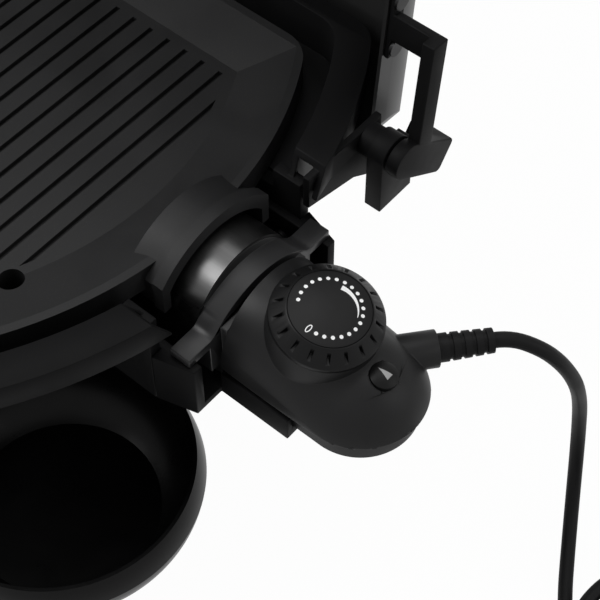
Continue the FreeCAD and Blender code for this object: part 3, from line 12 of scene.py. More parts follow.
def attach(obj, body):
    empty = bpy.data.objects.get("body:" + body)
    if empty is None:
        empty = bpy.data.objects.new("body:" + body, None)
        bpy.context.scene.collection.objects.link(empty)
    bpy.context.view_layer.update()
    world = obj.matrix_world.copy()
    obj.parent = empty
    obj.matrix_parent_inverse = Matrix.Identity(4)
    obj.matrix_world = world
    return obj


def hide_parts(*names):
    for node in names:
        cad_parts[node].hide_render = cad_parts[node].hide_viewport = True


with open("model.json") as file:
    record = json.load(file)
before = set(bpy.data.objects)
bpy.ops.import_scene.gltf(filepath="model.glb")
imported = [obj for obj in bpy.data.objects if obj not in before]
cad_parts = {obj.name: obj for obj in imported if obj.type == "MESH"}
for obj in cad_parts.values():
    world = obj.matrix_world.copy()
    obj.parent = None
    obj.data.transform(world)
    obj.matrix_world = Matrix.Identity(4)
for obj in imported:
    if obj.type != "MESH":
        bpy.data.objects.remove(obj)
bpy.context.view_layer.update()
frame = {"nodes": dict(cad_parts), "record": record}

# Electric table grill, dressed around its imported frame. Lengths are in metres.

LOG = logging.getLogger("grill")
MM = 0.001

# Copies of CAD meshes: how close doubled corners lie, what counts as flat, and which edges are rounded.
MERGE_DISTANCE = 0.002 * MM
FLAT_ANGLE = math.radians(0.5)
SHARP_ANGLE = math.radians(35)
EDGE_SEGMENTS = 2
# Faces that meet at more than this are shaded with a crease.
CREASE_ANGLE = math.radians(32)
# How close the coating's flecks lie, and the smoothest that any finish gets.
FLECK_SCALE = 850.0
SMOOTHEST = 0.02

Colour = tuple[float, float, float]
Spot = tuple[float, float, float]
Outline = tuple[tuple[float, float], ...]
Socket = bpy.types.NodeSocket


class Body(Enum):
    """The rigid bodies that pieces ride on."""

    BASE = "base"
    LID = "lid"
    CONTROL = "control"
    KNOB = "knob"


class Lay(Enum):
    """The axis that a brushed finish runs along."""

    ALONG_X = (6.0, 420.0, 420.0)
    ALONG_Y = (420.0, 6.0, 420.0)


class ShaderGroups:
    """Node groups that several finishes share."""

    @staticmethod
    def new(name: str, inputs: dict[str, float], outputs: tuple[str, ...]) -> bpy.types.ShaderNodeTree:
        """Makes an empty group with a vector input, float inputs and float outputs.

        Args:
            name: The group's name.
            inputs: Float inputs and their defaults.
            outputs: Names of the float outputs.

        Returns:
            The group, with its input and output nodes in place.
        """
        tree = bpy.data.node_groups.new(name, "ShaderNodeTree")
        tree.interface.new_socket("Vector", in_out="INPUT", socket_type="NodeSocketVector")
        for label, value in inputs.items():
            socket = tree.interface.new_socket(label, in_out="INPUT", socket_type="NodeSocketFloat")
            socket.default_value = value
        for label in outputs:
            tree.interface.new_socket(label, in_out="OUTPUT", socket_type="NodeSocketFloat")
        tree.nodes.new("NodeGroupInput").name = "in"
        tree.nodes.new("NodeGroupOutput").name = "out"
        return tree

    @staticmethod
    def fetch(name: str) -> bpy.types.ShaderNodeTree:
        """Fetches a shared group, made on first use.

        Args:
            name: The group's name.

        Returns:
            The group.
        """
        makers = {
            "moulded_grain": ShaderGroups.moulded_grain,
            "handling_haze": ShaderGroups.handling_haze,
            "brushed_lines": ShaderGroups.brushed_lines,
            "coating_flecks": ShaderGroups.coating_flecks,
        }
        return bpy.data.node_groups.get(name) or makers[name]()

    @staticmethod
    def moulded_grain() -> bpy.types.ShaderNodeTree:
        """The fine spark-eroded grain of a moulded or cast skin.

        Returns:
            A group that puts out Height and Tone.
        """
        pit_share = 0.55
        tree = ShaderGroups.new("moulded_grain", {"Scale": 2500.0}, ("Height", "Tone"))
        source, sink = tree.nodes["in"], tree.nodes["out"]
        fine = tree.nodes.new("ShaderNodeTexNoise")
        fine.inputs["Detail"].default_value = 3.0
        fine.inputs["Roughness"].default_value = 0.62
        pits = tree.nodes.new("ShaderNodeTexVoronoi")
        pits.feature = "SMOOTH_F1"
        blend = tree.nodes.new("ShaderNodeMath")
        blend.operation = "MULTIPLY_ADD"
        blend.inputs[1].default_value = pit_share
        for texture in (fine, pits):
            tree.links.new(source.outputs["Vector"], texture.inputs["Vector"])
            tree.links.new(source.outputs["Scale"], texture.inputs["Scale"])
        tree.links.new(pits.outputs["Distance"], blend.inputs[0])
        tree.links.new(fine.outputs["Fac"], blend.inputs[2])
        tree.links.new(blend.outputs[0], sink.inputs["Height"])
        tree.links.new(fine.outputs["Fac"], sink.inputs["Tone"])
        return tree

    @staticmethod
    def handling_haze() -> bpy.types.ShaderNodeTree:
        """Broad, soft patches where a skin is a little duller or shinier.

        Returns:
            A group that puts out Mask.
        """
        tree = ShaderGroups.new("handling_haze", {"Scale": 30.0}, ("Mask",))
        source, sink = tree.nodes["in"], tree.nodes["out"]
        cloud = tree.nodes.new("ShaderNodeTexNoise")
        cloud.inputs["Detail"].default_value = 4.0
        cloud.inputs["Distortion"].default_value = 0.6
        spread = tree.nodes.new("ShaderNodeMapRange")
        spread.inputs["From Min"].default_value = 0.35
        spread.inputs["From Max"].default_value = 0.68
        tree.links.new(source.outputs["Vector"], cloud.inputs["Vector"])
        tree.links.new(source.outputs["Scale"], cloud.inputs["Scale"])
        tree.links.new(cloud.outputs["Fac"], spread.inputs["Value"])
        tree.links.new(spread.outputs["Result"], sink.inputs["Mask"])
        return tree

    @staticmethod
    def brushed_lines() -> bpy.types.ShaderNodeTree:
        """Long fine lines left by rolling or brushing, along the stretched axis of the vector.

        Returns:
            A group that puts out Height and Tone.
        """
        tree = ShaderGroups.new("brushed_lines", {"Scale": 1.0}, ("Height", "Tone"))
        source, sink = tree.nodes["in"], tree.nodes["out"]
        lines = tree.nodes.new("ShaderNodeTexNoise")
        lines.inputs["Detail"].default_value = 5.0
        lines.inputs["Roughness"].default_value = 0.7
        tree.links.new(source.outputs["Vector"], lines.inputs["Vector"])
        tree.links.new(source.outputs["Scale"], lines.inputs["Scale"])
        tree.links.new(lines.outputs["Fac"], sink.inputs["Height"])
        tree.links.new(lines.outputs["Fac"], sink.inputs["Tone"])
        return tree

    @staticmethod
    def coating_flecks() -> bpy.types.ShaderNodeTree:
        """Sparse pale mineral flecks in a non-stick coating.

        Returns:
            A group that puts out Mask.
        """
        tree = ShaderGroups.new("coating_flecks", {"Scale": 900.0}, ("Mask",))
        source, sink = tree.nodes["in"], tree.nodes["out"]
        cells = tree.nodes.new("ShaderNodeTexVoronoi")
        keep = tree.nodes.new("ShaderNodeMapRange")
        keep.inputs["From Min"].default_value = 0.16
        keep.inputs["From Max"].default_value = 0.06
        tree.links.new(source.outputs["Vector"], cells.inputs["Vector"])
        tree.links.new(source.outputs["Scale"], cells.inputs["Scale"])
        tree.links.new(cells.outputs["Distance"], keep.inputs["Value"])
        tree.links.new(keep.outputs["Result"], sink.inputs["Mask"])
        return tree


@dataclass(frozen=True)
class Finish:
    """A surface finish with its grain, haze and flecks."""

    name: str
    colour: Colour
    roughness: float
    metallic: float = 0.0
    specular: float = 0.5
    grain_scale: float = 2200.0
    grain_bump: float = 0.1
    grain_depth: float = 0.00004
    haze: float = 0.06
    haze_scale: float = 28.0
    tone_spread: float = 0.25
    flecks: float = 0.0
    lay: Lay | None = None

    def material(self) -> bpy.types.Material:
        """Returns the finish as a material, made on first use.

        Returns:
            The material with its procedural nodes.
        """
        known = bpy.data.materials.get(self.name)
        if known:
            return known
        made = bpy.data.materials.new(self.name)
        made.use_nodes = True
        tree = made.node_tree
        shader = tree.nodes["Principled BSDF"]
        shader.inputs["Metallic"].default_value = self.metallic
        shader.inputs["Specular IOR Level"].default_value = self.specular
        place = tree.nodes.new("ShaderNodeTexCoord").outputs["Object"]
        grain = self.grain(tree, place)
        haze = self.group(tree, "handling_haze", place, self.haze_scale)
        self.link_colour(tree, shader, grain, place)
        self.link_roughness(tree, shader, haze)
        bump = tree.nodes.new("ShaderNodeBump")
        bump.inputs["Strength"].default_value = self.grain_bump
        bump.inputs["Distance"].default_value = self.grain_depth
        tree.links.new(grain.outputs["Height"], bump.inputs["Height"])
        tree.links.new(bump.outputs["Normal"], shader.inputs["Normal"])
        return made

    @staticmethod
    def group(tree: bpy.types.NodeTree, name: str, place: Socket, scale: float) -> bpy.types.Node:
        """Places a shared group in a material.

        Args:
            tree: The material's node tree.
            name: The group's name.
            place: The coordinates that it reads.
            scale: Its scale.

        Returns:
            The group node.
        """
        item = tree.nodes.new("ShaderNodeGroup")
        item.node_tree = ShaderGroups.fetch(name)
        item.inputs["Scale"].default_value = scale
        tree.links.new(place, item.inputs["Vector"])
        return item

    def grain(self, tree: bpy.types.NodeTree, place: Socket) -> bpy.types.Node:
        """Places the finish's grain: brushed along its lay, or moulded.

        Args:
            tree: The material's node tree.
            place: The coordinates that it reads.

        Returns:
            The group node with Height and Tone.
        """
        if self.lay is None:
            return self.group(tree, "moulded_grain", place, self.grain_scale)
        stretch = tree.nodes.new("ShaderNodeMapping")
        stretch.inputs["Scale"].default_value = self.lay.value
        tree.links.new(place, stretch.inputs["Vector"])
        return self.group(tree, "brushed_lines", stretch.outputs["Vector"], 1.0)

    def link_colour(self, tree: bpy.types.NodeTree, shader: bpy.types.Node, grain: bpy.types.Node,
                    place: Socket) -> None:
        """Varies the colour with the grain's tone, and adds flecks where the finish has them.

        Args:
            tree: The material's node tree.
            shader: The material's shader.
            grain: The grain's group node.
            place: The coordinates that the flecks read.
        """
        shade = tree.nodes.new("ShaderNodeMix")
        shade.data_type = "RGBA"
        low, high = 1.0 - self.tone_spread, 1.0 + self.tone_spread
        shade.inputs["A"].default_value = (*[channel * low for channel in self.colour], 1.0)
        shade.inputs["B"].default_value = (*[min(channel * high, 1.0) for channel in self.colour], 1.0)
        tree.links.new(grain.outputs["Tone"], shade.inputs["Factor"])
        result = shade.outputs["Result"]
        if self.flecks:
            flecks = self.group(tree, "coating_flecks", place, FLECK_SCALE)
            speck = tree.nodes.new("ShaderNodeMix")
            speck.data_type = "RGBA"
            speck.inputs["B"].default_value = (self.flecks, self.flecks, self.flecks, 1.0)
            tree.links.new(flecks.outputs["Mask"], speck.inputs["Factor"])
            tree.links.new(result, speck.inputs["A"])
            result = speck.outputs["Result"]
        tree.links.new(result, shader.inputs["Base Color"])

    def link_roughness(self, tree: bpy.types.NodeTree, shader: bpy.types.Node,
                       haze: bpy.types.Node) -> None:
        """Varies the roughness with the haze.

        Args:
            tree: The material's node tree.
            shader: The material's shader.
            haze: The haze's group node.
        """
        spread = tree.nodes.new("ShaderNodeMapRange")
        spread.inputs["To Min"].default_value = max(self.roughness - self.haze, SMOOTHEST)
        spread.inputs["To Max"].default_value = min(self.roughness + self.haze, 1.0)
        tree.links.new(haze.outputs["Mask"], spread.inputs["Value"])
        tree.links.new(spread.outputs["Result"], shader.inputs["Roughness"])


class Finishes:
    """The finishes of the record's material slots, of single pieces that differ, and of the print."""

    COATING = Finish("non_stick_coating", (0.0095, 0.0095, 0.0098), 0.46, specular=0.2,
                     grain_scale=1500.0, grain_bump=0.22, flecks=0.03, haze=0.07)
    FRAME = Finish("frame_moulding", (0.0046, 0.0046, 0.0048), 0.52, specular=0.055, grain_bump=0.2)
    CONTROL = Finish("control_moulding", (0.0085, 0.0085, 0.0088), 0.42, specular=0.16,
                     grain_scale=2600.0, grain_bump=0.16)
    # Painted light: a lighter, shinier copy of the control moulding for the flange, standing in for the
    # extra light that its face catches.
    FLANGE_PAINTED_LIGHT = Finish("flange_moulding_painted_light", (0.015, 0.015, 0.0155), 0.4, specular=0.22, grain_scale=2600.0,
                    grain_bump=0.16)
    KNOB = Finish("knob_moulding", (0.005, 0.005, 0.0052), 0.4, specular=0.13, grain_scale=2800.0,
                  grain_bump=0.12)
    GRIP = Finish("grip_moulding", (0.008, 0.008, 0.0083), 0.5, specular=0.25, grain_bump=0.2)
    ENAMEL = Finish("black_enamel", (0.0006, 0.0006, 0.0007), 0.2, specular=0.008, grain_scale=420.0,
                    grain_bump=0.05, haze=0.04)
    BOWL = Finish("bowl_enamel", (0.0018, 0.0018, 0.0019), 0.3, specular=0.1, grain_scale=420.0,
                  grain_bump=0.05, haze=0.04)
    TUBE = Finish("powder_coat", (0.007, 0.007, 0.0073), 0.42, specular=0.22, grain_scale=1300.0,
                  grain_bump=0.18)
    SHEET = Finish("bright_sheet", (0.56, 0.56, 0.55), 0.26, metallic=1.0, grain_bump=0.12,
                   lay=Lay.ALONG_X)
    SLEEVE = Finish("dark_chrome", (0.075, 0.075, 0.075), 0.3, metallic=1.0, grain_bump=0.12,
                    lay=Lay.ALONG_X)
    STEEL = Finish("turned_steel", (0.5, 0.5, 0.5), 0.3, metallic=1.0, grain_bump=0.08, lay=Lay.ALONG_Y)
    BRASS = Finish("bare_brass", (0.7, 0.52, 0.26), 0.28, metallic=1.0, grain_bump=0.06, lay=Lay.ALONG_X)
    BLACK_STEEL = Finish("blackened_steel", (0.02, 0.02, 0.0205), 0.45, metallic=1.0, grain_bump=0.08)
    RUBBER = Finish("foot_rubber", (0.012, 0.012, 0.012), 0.7, specular=0.25, grain_bump=0.25)
    SHEATH = Finish("cord_sheath", (0.005, 0.005, 0.0052), 0.5, specular=0.1, grain_scale=1800.0,
                    grain_bump=0.14)
    STRAP = Finish("tie_strap", (0.008, 0.008, 0.008), 0.5, specular=0.25, grain_bump=0.15)
    LENS = Finish("pointer_lens", (0.005, 0.005, 0.005), 0.42, specular=0.12, grain_bump=0.02)
    # Painted shade: a near-black finish for the ring that stands in for the shade where the knob's face
    # cap meets its grip.
    GROOVE_SHADE = Finish("groove_shade", (0.0008, 0.0008, 0.0008), 0.8, specular=0.02, grain_bump=0.02)
    PRINT = Finish("white_print", (0.86, 0.86, 0.86), 0.5, grain_scale=3000.0, grain_bump=0.03,
                   tone_spread=0.04)
    GREY_PRINT = Finish("grey_print", (0.3, 0.3, 0.3), 0.5, grain_scale=3000.0, grain_bump=0.03,
                        tone_spread=0.06)

    BY_SLOT = {
        "coated_casting": COATING, "black_plastic": FRAME, "control_plastic": CONTROL,
        "knob_plastic": KNOB, "grip_plastic": GRIP, "lens_plastic": LENS, "black_enamel": ENAMEL,
        "black_tube": TUBE, "bright_steel": SHEET, "steel": STEEL, "brass": BRASS,
        "black_rubber": RUBBER, "cord_rubber": SHEATH, "tie_plastic": STRAP,
    }

    @staticmethod
    def slot_of(node: str) -> str:
        """Returns a CAD node's material slot in the record."""
        slots = {item["node"]: item["material_slot"] for item in frame["record"]["subparts"]}
        return slots[node]

    @staticmethod
    def of_node(node: str) -> Finish:
        """Returns the finish of a CAD node's slot."""
        return Finishes.BY_SLOT[Finishes.slot_of(node)]


class Piece:
    """Helpers that turn meshes into pieces on a body."""

    @staticmethod
    def from_bmesh(mesh: bmesh.types.BMesh, name: str, body: Body, finish: Finish, slot: str,
                   closed: bool = True) -> bpy.types.Object:
        """Makes a piece from a bmesh, and lets it ride.

        Args:
            mesh: The shape, which is freed.
            name: The piece's name.
            body: The body that it rides on.
            finish: Its finish.
            slot: The record's slot that it belongs to; not used.
            closed: Whether it is a closed shape, whose faces are turned outwards.

        Returns:
            The new object.
        """
        if closed:
            bmesh.ops.recalc_face_normals(mesh, faces=mesh.faces)
        data = bpy.data.meshes.new(name)
        mesh.to_mesh(data)
        mesh.free()
        data.shade_smooth()
        data.set_sharp_from_angle(angle=CREASE_ANGLE)
        item = bpy.data.objects.new(name, data)
        bpy.context.scene.collection.objects.link(item)
        data.materials.append(finish.material())
        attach(item, body.value)
        LOG.info("%s: %d faces on %s", name, len(data.polygons), body.value)
        return item

    @staticmethod
    def soften(node: str, body: Body, width: float, finish: Finish | None = None) -> bpy.types.Object:
        """Puts a copy with rounded edges in a CAD node's place.

        Args:
            node: The CAD node.
            body: The body that it rides on.
            width: How far the rounding reaches from an edge.
            finish: Its finish, where that isn't its slot's.

        Returns:
            The new object.
        """
        source = frame["nodes"][node]
        mesh = bmesh.new()
        mesh.from_mesh(source.data)
        bmesh.ops.transform(mesh, matrix=source.matrix_world, verts=mesh.verts)
        bmesh.ops.remove_doubles(mesh, verts=mesh.verts, dist=MERGE_DISTANCE)
        bmesh.ops.dissolve_limit(mesh, angle_limit=FLAT_ANGLE, verts=mesh.verts, edges=mesh.edges)
        sharp = [edge for edge in mesh.edges
                 if edge.is_manifold and edge.calc_face_angle() > SHARP_ANGLE]
        bmesh.ops.bevel(mesh, geom=sharp, affect="EDGES", offset=width, segments=EDGE_SEGMENTS,
                        profile=0.5, material=-1, clamp_overlap=False)
        look = finish or Finishes.of_node(node)
        item = Piece.from_bmesh(mesh, f"{node}_soft", body, look, Finishes.slot_of(node))
        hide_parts(node)
        return item

    @staticmethod
    def dress(node: str, finish: Finish | None = None) -> None:
        """Gives a CAD node its procedural finish.

        Args:
            node: The CAD node.
            finish: Its finish, where that isn't its slot's.
        """
        look = finish or Finishes.of_node(node)
        for entry in frame["nodes"][node].material_slots:
            entry.material = look.material()
        LOG.info("%s: dressed with %s", node, look.name)


@dataclass
class DialMarks:
    """White marks printed on the knob's domed face, and a dark ring of painted shade round it, where the
    face cap meets the grip. Angles are in degrees.
    """

    seat: Matrix
    face_height: float = 13.8 * MM
    dome: float = 1.9 * MM
    face_radius: float = 18.5 * MM
    ring_radius: float = 13.7 * MM
    dot_radius: float = 0.86 * MM
    dot_count: int = 20
    dot_sides: int = 20
    first_angle: float = -75.6
    step_angle: float = 15.0
    zero_angle: float = -91.0
    zero_size: tuple[float, float] = (1.05 * MM, 2.0 * MM)
    zero_sides: int = 36
    stroke: float = 0.42 * MM
    crescent_from: float = 22.0
    crescent_to: float = 105.0
    crescent_outer: float = 11.9 * MM
    crescent_width: float = 2.4 * MM
    crescent_start: float = 0.12
    crescent_steps: int = 40
    # Where the ring of painted shade lies, its width and its steps.
    groove_radius: float = 18.1 * MM
    groove_width: float = 0.3 * MM
    groove_steps: int = 96
    proud: float = 0.04 * MM

    def lift(self, x: float, y: float) -> float:
        """Works out the height of the print on the domed face.

        Args:
            x: The place along the face's X.
            y: The place along its Y.

        Returns:
            The height above the knob's seat.
        """
        ball = (self.face_radius ** 2 + self.dome ** 2) / (2 * self.dome)
        bulge = math.sqrt(ball ** 2 - x * x - y * y)
        return self.face_height + self.dome - ball + bulge + self.proud

    def lay_down(self, mesh: bmesh.types.BMesh) -> None:
        """Presses flat marks onto the dome and carries them to the knob's seat.

        Args:
            mesh: The flat marks.
        """
        mesh.normal_update()
        bmesh.ops.reverse_faces(mesh, faces=[face for face in mesh.faces if face.normal.z < 0])
        for vert in mesh.verts:
            vert.co.z = self.lift(vert.co.x, vert.co.y)
        bmesh.ops.transform(mesh, matrix=self.seat, verts=mesh.verts)

    def dots(self, mesh: bmesh.types.BMesh) -> None:
        """Adds the ring of dots.

        Args:
            mesh: The flat marks, which it adds to.
        """
        for count in range(self.dot_count):
            angle = math.radians(self.first_angle + self.step_angle * count)
            spot = Vector((math.cos(angle), math.sin(angle), 0)) * self.ring_radius
            bmesh.ops.create_circle(mesh, cap_ends=True, segments=self.dot_sides, radius=self.dot_radius,
                                    matrix=Matrix.Translation(spot))

    def zero(self, mesh: bmesh.types.BMesh) -> None:
        """Adds the oval figure nought, upright towards the middle.

        Args:
            mesh: The flat marks, which it adds to.
        """
        angle = math.radians(self.zero_angle)
        spot = Vector((math.cos(angle), math.sin(angle), 0)) * self.ring_radius
        turn = Matrix.Rotation(angle - math.pi / 2, 4, "Z")
        wide, tall = self.zero_size
        scale = Matrix.Diagonal((wide, tall, 1.0, 1.0))
        made = bmesh.ops.create_circle(mesh, cap_ends=True, segments=self.zero_sides, radius=1.0,
                                       matrix=Matrix.Translation(spot) @ turn @ scale)
        face = made["verts"][0].link_faces[0]
        bmesh.ops.inset_region(mesh, faces=[face], thickness=self.stroke, use_even_offset=True,
                               use_boundary=True)
        bmesh.ops.delete(mesh, geom=[face], context="FACES")

    def crescent(self, mesh: bmesh.types.BMesh) -> None:
        """Adds the tapered arc that grows towards the hottest setting.

        Args:
            mesh: The flat marks, which it adds to.
        """
        start, stop = math.radians(self.crescent_from), math.radians(self.crescent_to)
        ray = Vector((math.cos(start), math.sin(start), 0))
        ends = [mesh.verts.new(ray * self.crescent_outer),
                mesh.verts.new(ray * (self.crescent_outer - self.crescent_width))]
        edge = mesh.edges.new(ends)
        before = set(mesh.verts) - set(ends)
        bmesh.ops.spin(mesh, geom=[edge, *ends], cent=(0, 0, 0), axis=(0, 0, 1), angle=stop - start,
                       steps=self.crescent_steps)
        for vert in set(mesh.verts) - before:
            reach = vert.co.xy.length
            if reach > self.crescent_outer - self.crescent_width / 2:
                continue
            share = (math.atan2(vert.co.y, vert.co.x) - start) / (stop - start)
            width = self.crescent_width * (self.crescent_start + (1 - self.crescent_start) * share)
            vert.co.xy *= (self.crescent_outer - width) / reach

    def shade_ring(self) -> bpy.types.Object:
        """Makes a dark ring of painted shade where the knob's face cap meets its grip, standing in for
        the shade in the fine recess there.

        Returns:
            The new piece.
        """
        mesh = bmesh.new()
        ends = [mesh.verts.new((radius, 0, 0))
                for radius in (self.groove_radius, self.groove_radius - self.groove_width)]
        edge = mesh.edges.new(ends)
        bmesh.ops.spin(mesh, geom=[edge, *ends], cent=(0, 0, 0), axis=(0, 0, 1), angle=2 * math.pi,
                       steps=self.groove_steps, use_merge=True)
        self.lay_down(mesh)
        return Piece.from_bmesh(mesh, "face_groove_shade", Body.KNOB, Finishes.GROOVE_SHADE, "knob_plastic",
                                closed=False)

    def build(self) -> bpy.types.Object:
        """Makes all the marks as one print, and the ring of painted shade round the face.

        Returns:
            The print.
        """
        self.shade_ring()
        mesh = bmesh.new()
        self.dots(mesh)
        self.zero(mesh)
        self.crescent(mesh)
        self.lay_down(mesh)
        return Piece.from_bmesh(mesh, "dial_marks", Body.KNOB, Finishes.PRINT, "knob_plastic",
                                closed=False)


@dataclass
class PointerMark:
    """The grey triangle on the pointer lens."""

    seat: Matrix
    tip: float = -3.9 * MM
    base: float = 2.6 * MM
    half_width: float = 1.75 * MM
    lens_radius: float = 6.3 * MM
    lens_rise: float = 2.0 * MM
    cuts: int = 7
    proud: float = 0.04 * MM

    def build(self) -> bpy.types.Object:
        """Makes the triangle and presses it onto the lens.

        Returns:
            The new piece.
        """
        mesh = bmesh.new()
        corners = [mesh.verts.new(spot) for spot in (
            (self.tip, 0, 0), (self.base, -self.half_width, 0), (self.base, self.half_width, 0))]
        mesh.faces.new(corners).normal_update()
        bmesh.ops.reverse_faces(mesh, faces=[face for face in mesh.faces if face.normal.z < 0])
        bmesh.ops.subdivide_edges(mesh, edges=mesh.edges, cuts=self.cuts, use_grid_fill=True)
        ball = (self.lens_radius ** 2 + self.lens_rise ** 2) / (2 * self.lens_rise)
        for vert in mesh.verts:
            fall = ball - math.sqrt(ball ** 2 - vert.co.x ** 2 - vert.co.y ** 2)
            vert.co.z = self.lens_rise - fall + self.proud
        bmesh.ops.transform(mesh, matrix=self.seat, verts=mesh.verts)
        return Piece.from_bmesh(mesh, "pointer_mark", Body.CONTROL, Finishes.GREY_PRINT, "lens_plastic",
                                closed=False)


@dataclass
class Control:
    """The plug-in control with its knob and marks. The tilt is in degrees."""

    knob_spot: Vector = field(default_factory=lambda: Vector((264.2, 0.0, 174.7)) * MM)
    tilt: float = 12.0
    lens_x: float = 296.6 * MM
    edge: float = 0.5 * MM
    knob_edge: float = 0.3 * MM
    nodes: tuple[str, ...] = (
        "steel_sleeve", "controller_flange", "receptacles", "probe_rod", "controller_upper_shell",
        "controller_lower_shell", "shell_screws", "pointer_lens", "thermostat_block", "strain_relief",
        "coil_tie", "plug_body", "plug_pins", "control_knob", "knob_shaft")

    def seat(self) -> Matrix:
        """Returns the frame of the body's sloping top at the knob's axis."""
        return Matrix.Translation(self.knob_spot) @ Matrix.Rotation(math.radians(self.tilt), 4, "Y")

    def build(self) -> None:
        """Dresses the control, rounds the edges of its mouldings and adds its marks."""
        for node in self.nodes:
            Piece.dress(node)
        Piece.dress("steel_sleeve", Finishes.SLEEVE)
        # The flange gets the lighter copy of the control moulding: painted light.
        Piece.soften("controller_flange", Body.CONTROL, self.edge, Finishes.FLANGE_PAINTED_LIGHT)
        Piece.soften("controller_upper_shell", Body.CONTROL, self.edge)
        Piece.soften("control_knob", Body.KNOB, self.knob_edge)
        DialMarks(self.seat()).build()
        reach = (self.lens_x - self.knob_spot.x) / math.cos(math.radians(self.tilt))
        PointerMark(self.seat() @ Matrix.Translation((reach, 0, 0))).build()


@dataclass
class Cord:
    """The mains cord: a free stretch down to the table, then a tied coil with the plug on its tail."""

    diameter: float = 7.2 * MM
    length: float = 1.83
    tip: Vector = field(default_factory=lambda: Vector((315.727, 51.685, 153.5)) * MM)
    heading: Vector = field(default_factory=lambda: Vector((0.642788, 0.766044, 0.0)))
    lead: float = 8.0 * MM
    lie: float = 5.5 * MM
    coil_radius: float = 54.0 * MM
    coil_pitch: float = 9.0 * MM
    coil_layer: float = 8.4 * MM
    coil_turns_in: float = 2.75
    coil_climb: float = 0.5
    coil_tail: float = 50.0 * MM
    tail_shares: tuple[float, ...] = (0.35, 0.7, 1.0)
    stations: int = 24
    spline_order: int = 3
    spline_steps: int = 6
    tube_steps: int = 5
    # The free stretch: millimetres from the relief's tip along X and Y, and the share of the drop.
    steps: tuple[Spot, ...] = (
        (16.9, 13.4, 0.037), (23.5, 19.7, 0.109), (27.3, 26.6, 0.21), (28.9, 33.9, 0.331),
        (29.3, 40.3, 0.473), (29.9, 43.9, 0.618), (32.7, 42.9, 0.75), (38.1, 36.5, 0.861),
        (45.9, 25.3, 0.946), (55.3, 10.5, 0.991), (65.6, -6.5, 1.0), (77.7, -23.5, 1.0),
        (88.3, -37.5, 1.0))

    def route(self) -> list[Vector]:
        """Lays the free stretch: out of the relief, down to the table and away.

        Returns:
            Its control points.
        """
        drop = self.tip.z - self.lie
        return [self.tip, self.tip + self.heading * self.lead,
                *[self.tip + Vector((x * MM, y * MM, -drop * share)) for x, y, share in self.steps]]

    def coil(self, start: Vector, before: Vector) -> list[Vector]:
        """Winds the coil: in on the lower layer, up in half a turn, out on the upper one.

        Args:
            start: Where the free stretch ends.
            before: The route's point before that.

        Returns:
            The coil's control points and the end of its tail.
        """
        along = start - before
        first = math.atan2(along.y, along.x) - math.pi / 2
        centre = start - Vector((math.cos(first), math.sin(first), 0)) * self.coil_radius
        climb_end = self.coil_turns_in + self.coil_climb
        last = self.coil_turns_in + climb_end
        # The spline touches the middles of its control polygon's sides, so the points stand out from it.
        swell = 1.0 / math.cos(math.pi / self.stations)
        points = []
        for count in range(1, int(last * self.stations) + 1):
            turn = count / self.stations
            wound = min(turn, self.coil_turns_in) - max(turn - climb_end, 0)
            share = min(max((turn - self.coil_turns_in) / self.coil_climb, 0), 1)
            rise = self.coil_layer * share * share * (3 - 2 * share)
            radius = (self.coil_radius - self.coil_pitch * wound) * swell
            angle = first + 2 * math.pi * turn
            points.append(centre + Vector((math.cos(angle) * radius, math.sin(angle) * radius, rise)))
        angle = first + 2 * math.pi * last
        out = Vector((-math.sin(angle), math.cos(angle), 0))
        end = centre + Vector((math.cos(angle), math.sin(angle), 0)) * self.coil_radius
        end.z += self.coil_layer
        points[-1] = end
        return points + [end + out * (self.coil_tail * share) for share in self.tail_shares]

    def build(self) -> bpy.types.Object:
        """Lays the cord along its route as one smooth spline.

        Returns:
            The cord's curve.
        """
        free = self.route()
        points = free + self.coil(free[-1], free[-2])
        curve = bpy.data.curves.new("mains_cord", "CURVE")
        curve.dimensions = "3D"
        spline = curve.splines.new("NURBS")
        spline.points.add(len(points) - 1)
        for entry, spot in zip(spline.points, points):
            entry.co = (*spot, 1.0)
        spline.order_u = self.spline_order
        spline.use_endpoint_u = True
        spline.resolution_u = self.spline_steps
        curve.bevel_depth = self.diameter / 2
        curve.bevel_resolution = self.tube_steps
        curve.use_fill_caps = True
        cord = bpy.data.objects.new("mains_cord", curve)
        bpy.context.scene.collection.objects.link(cord)
        curve.materials.append(Finishes.SHEATH.material())
        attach(cord, Body.CONTROL.value)
        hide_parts("cord", "cord_coil")
        LOG.info("mains_cord: %d control points", len(points))
        return cord


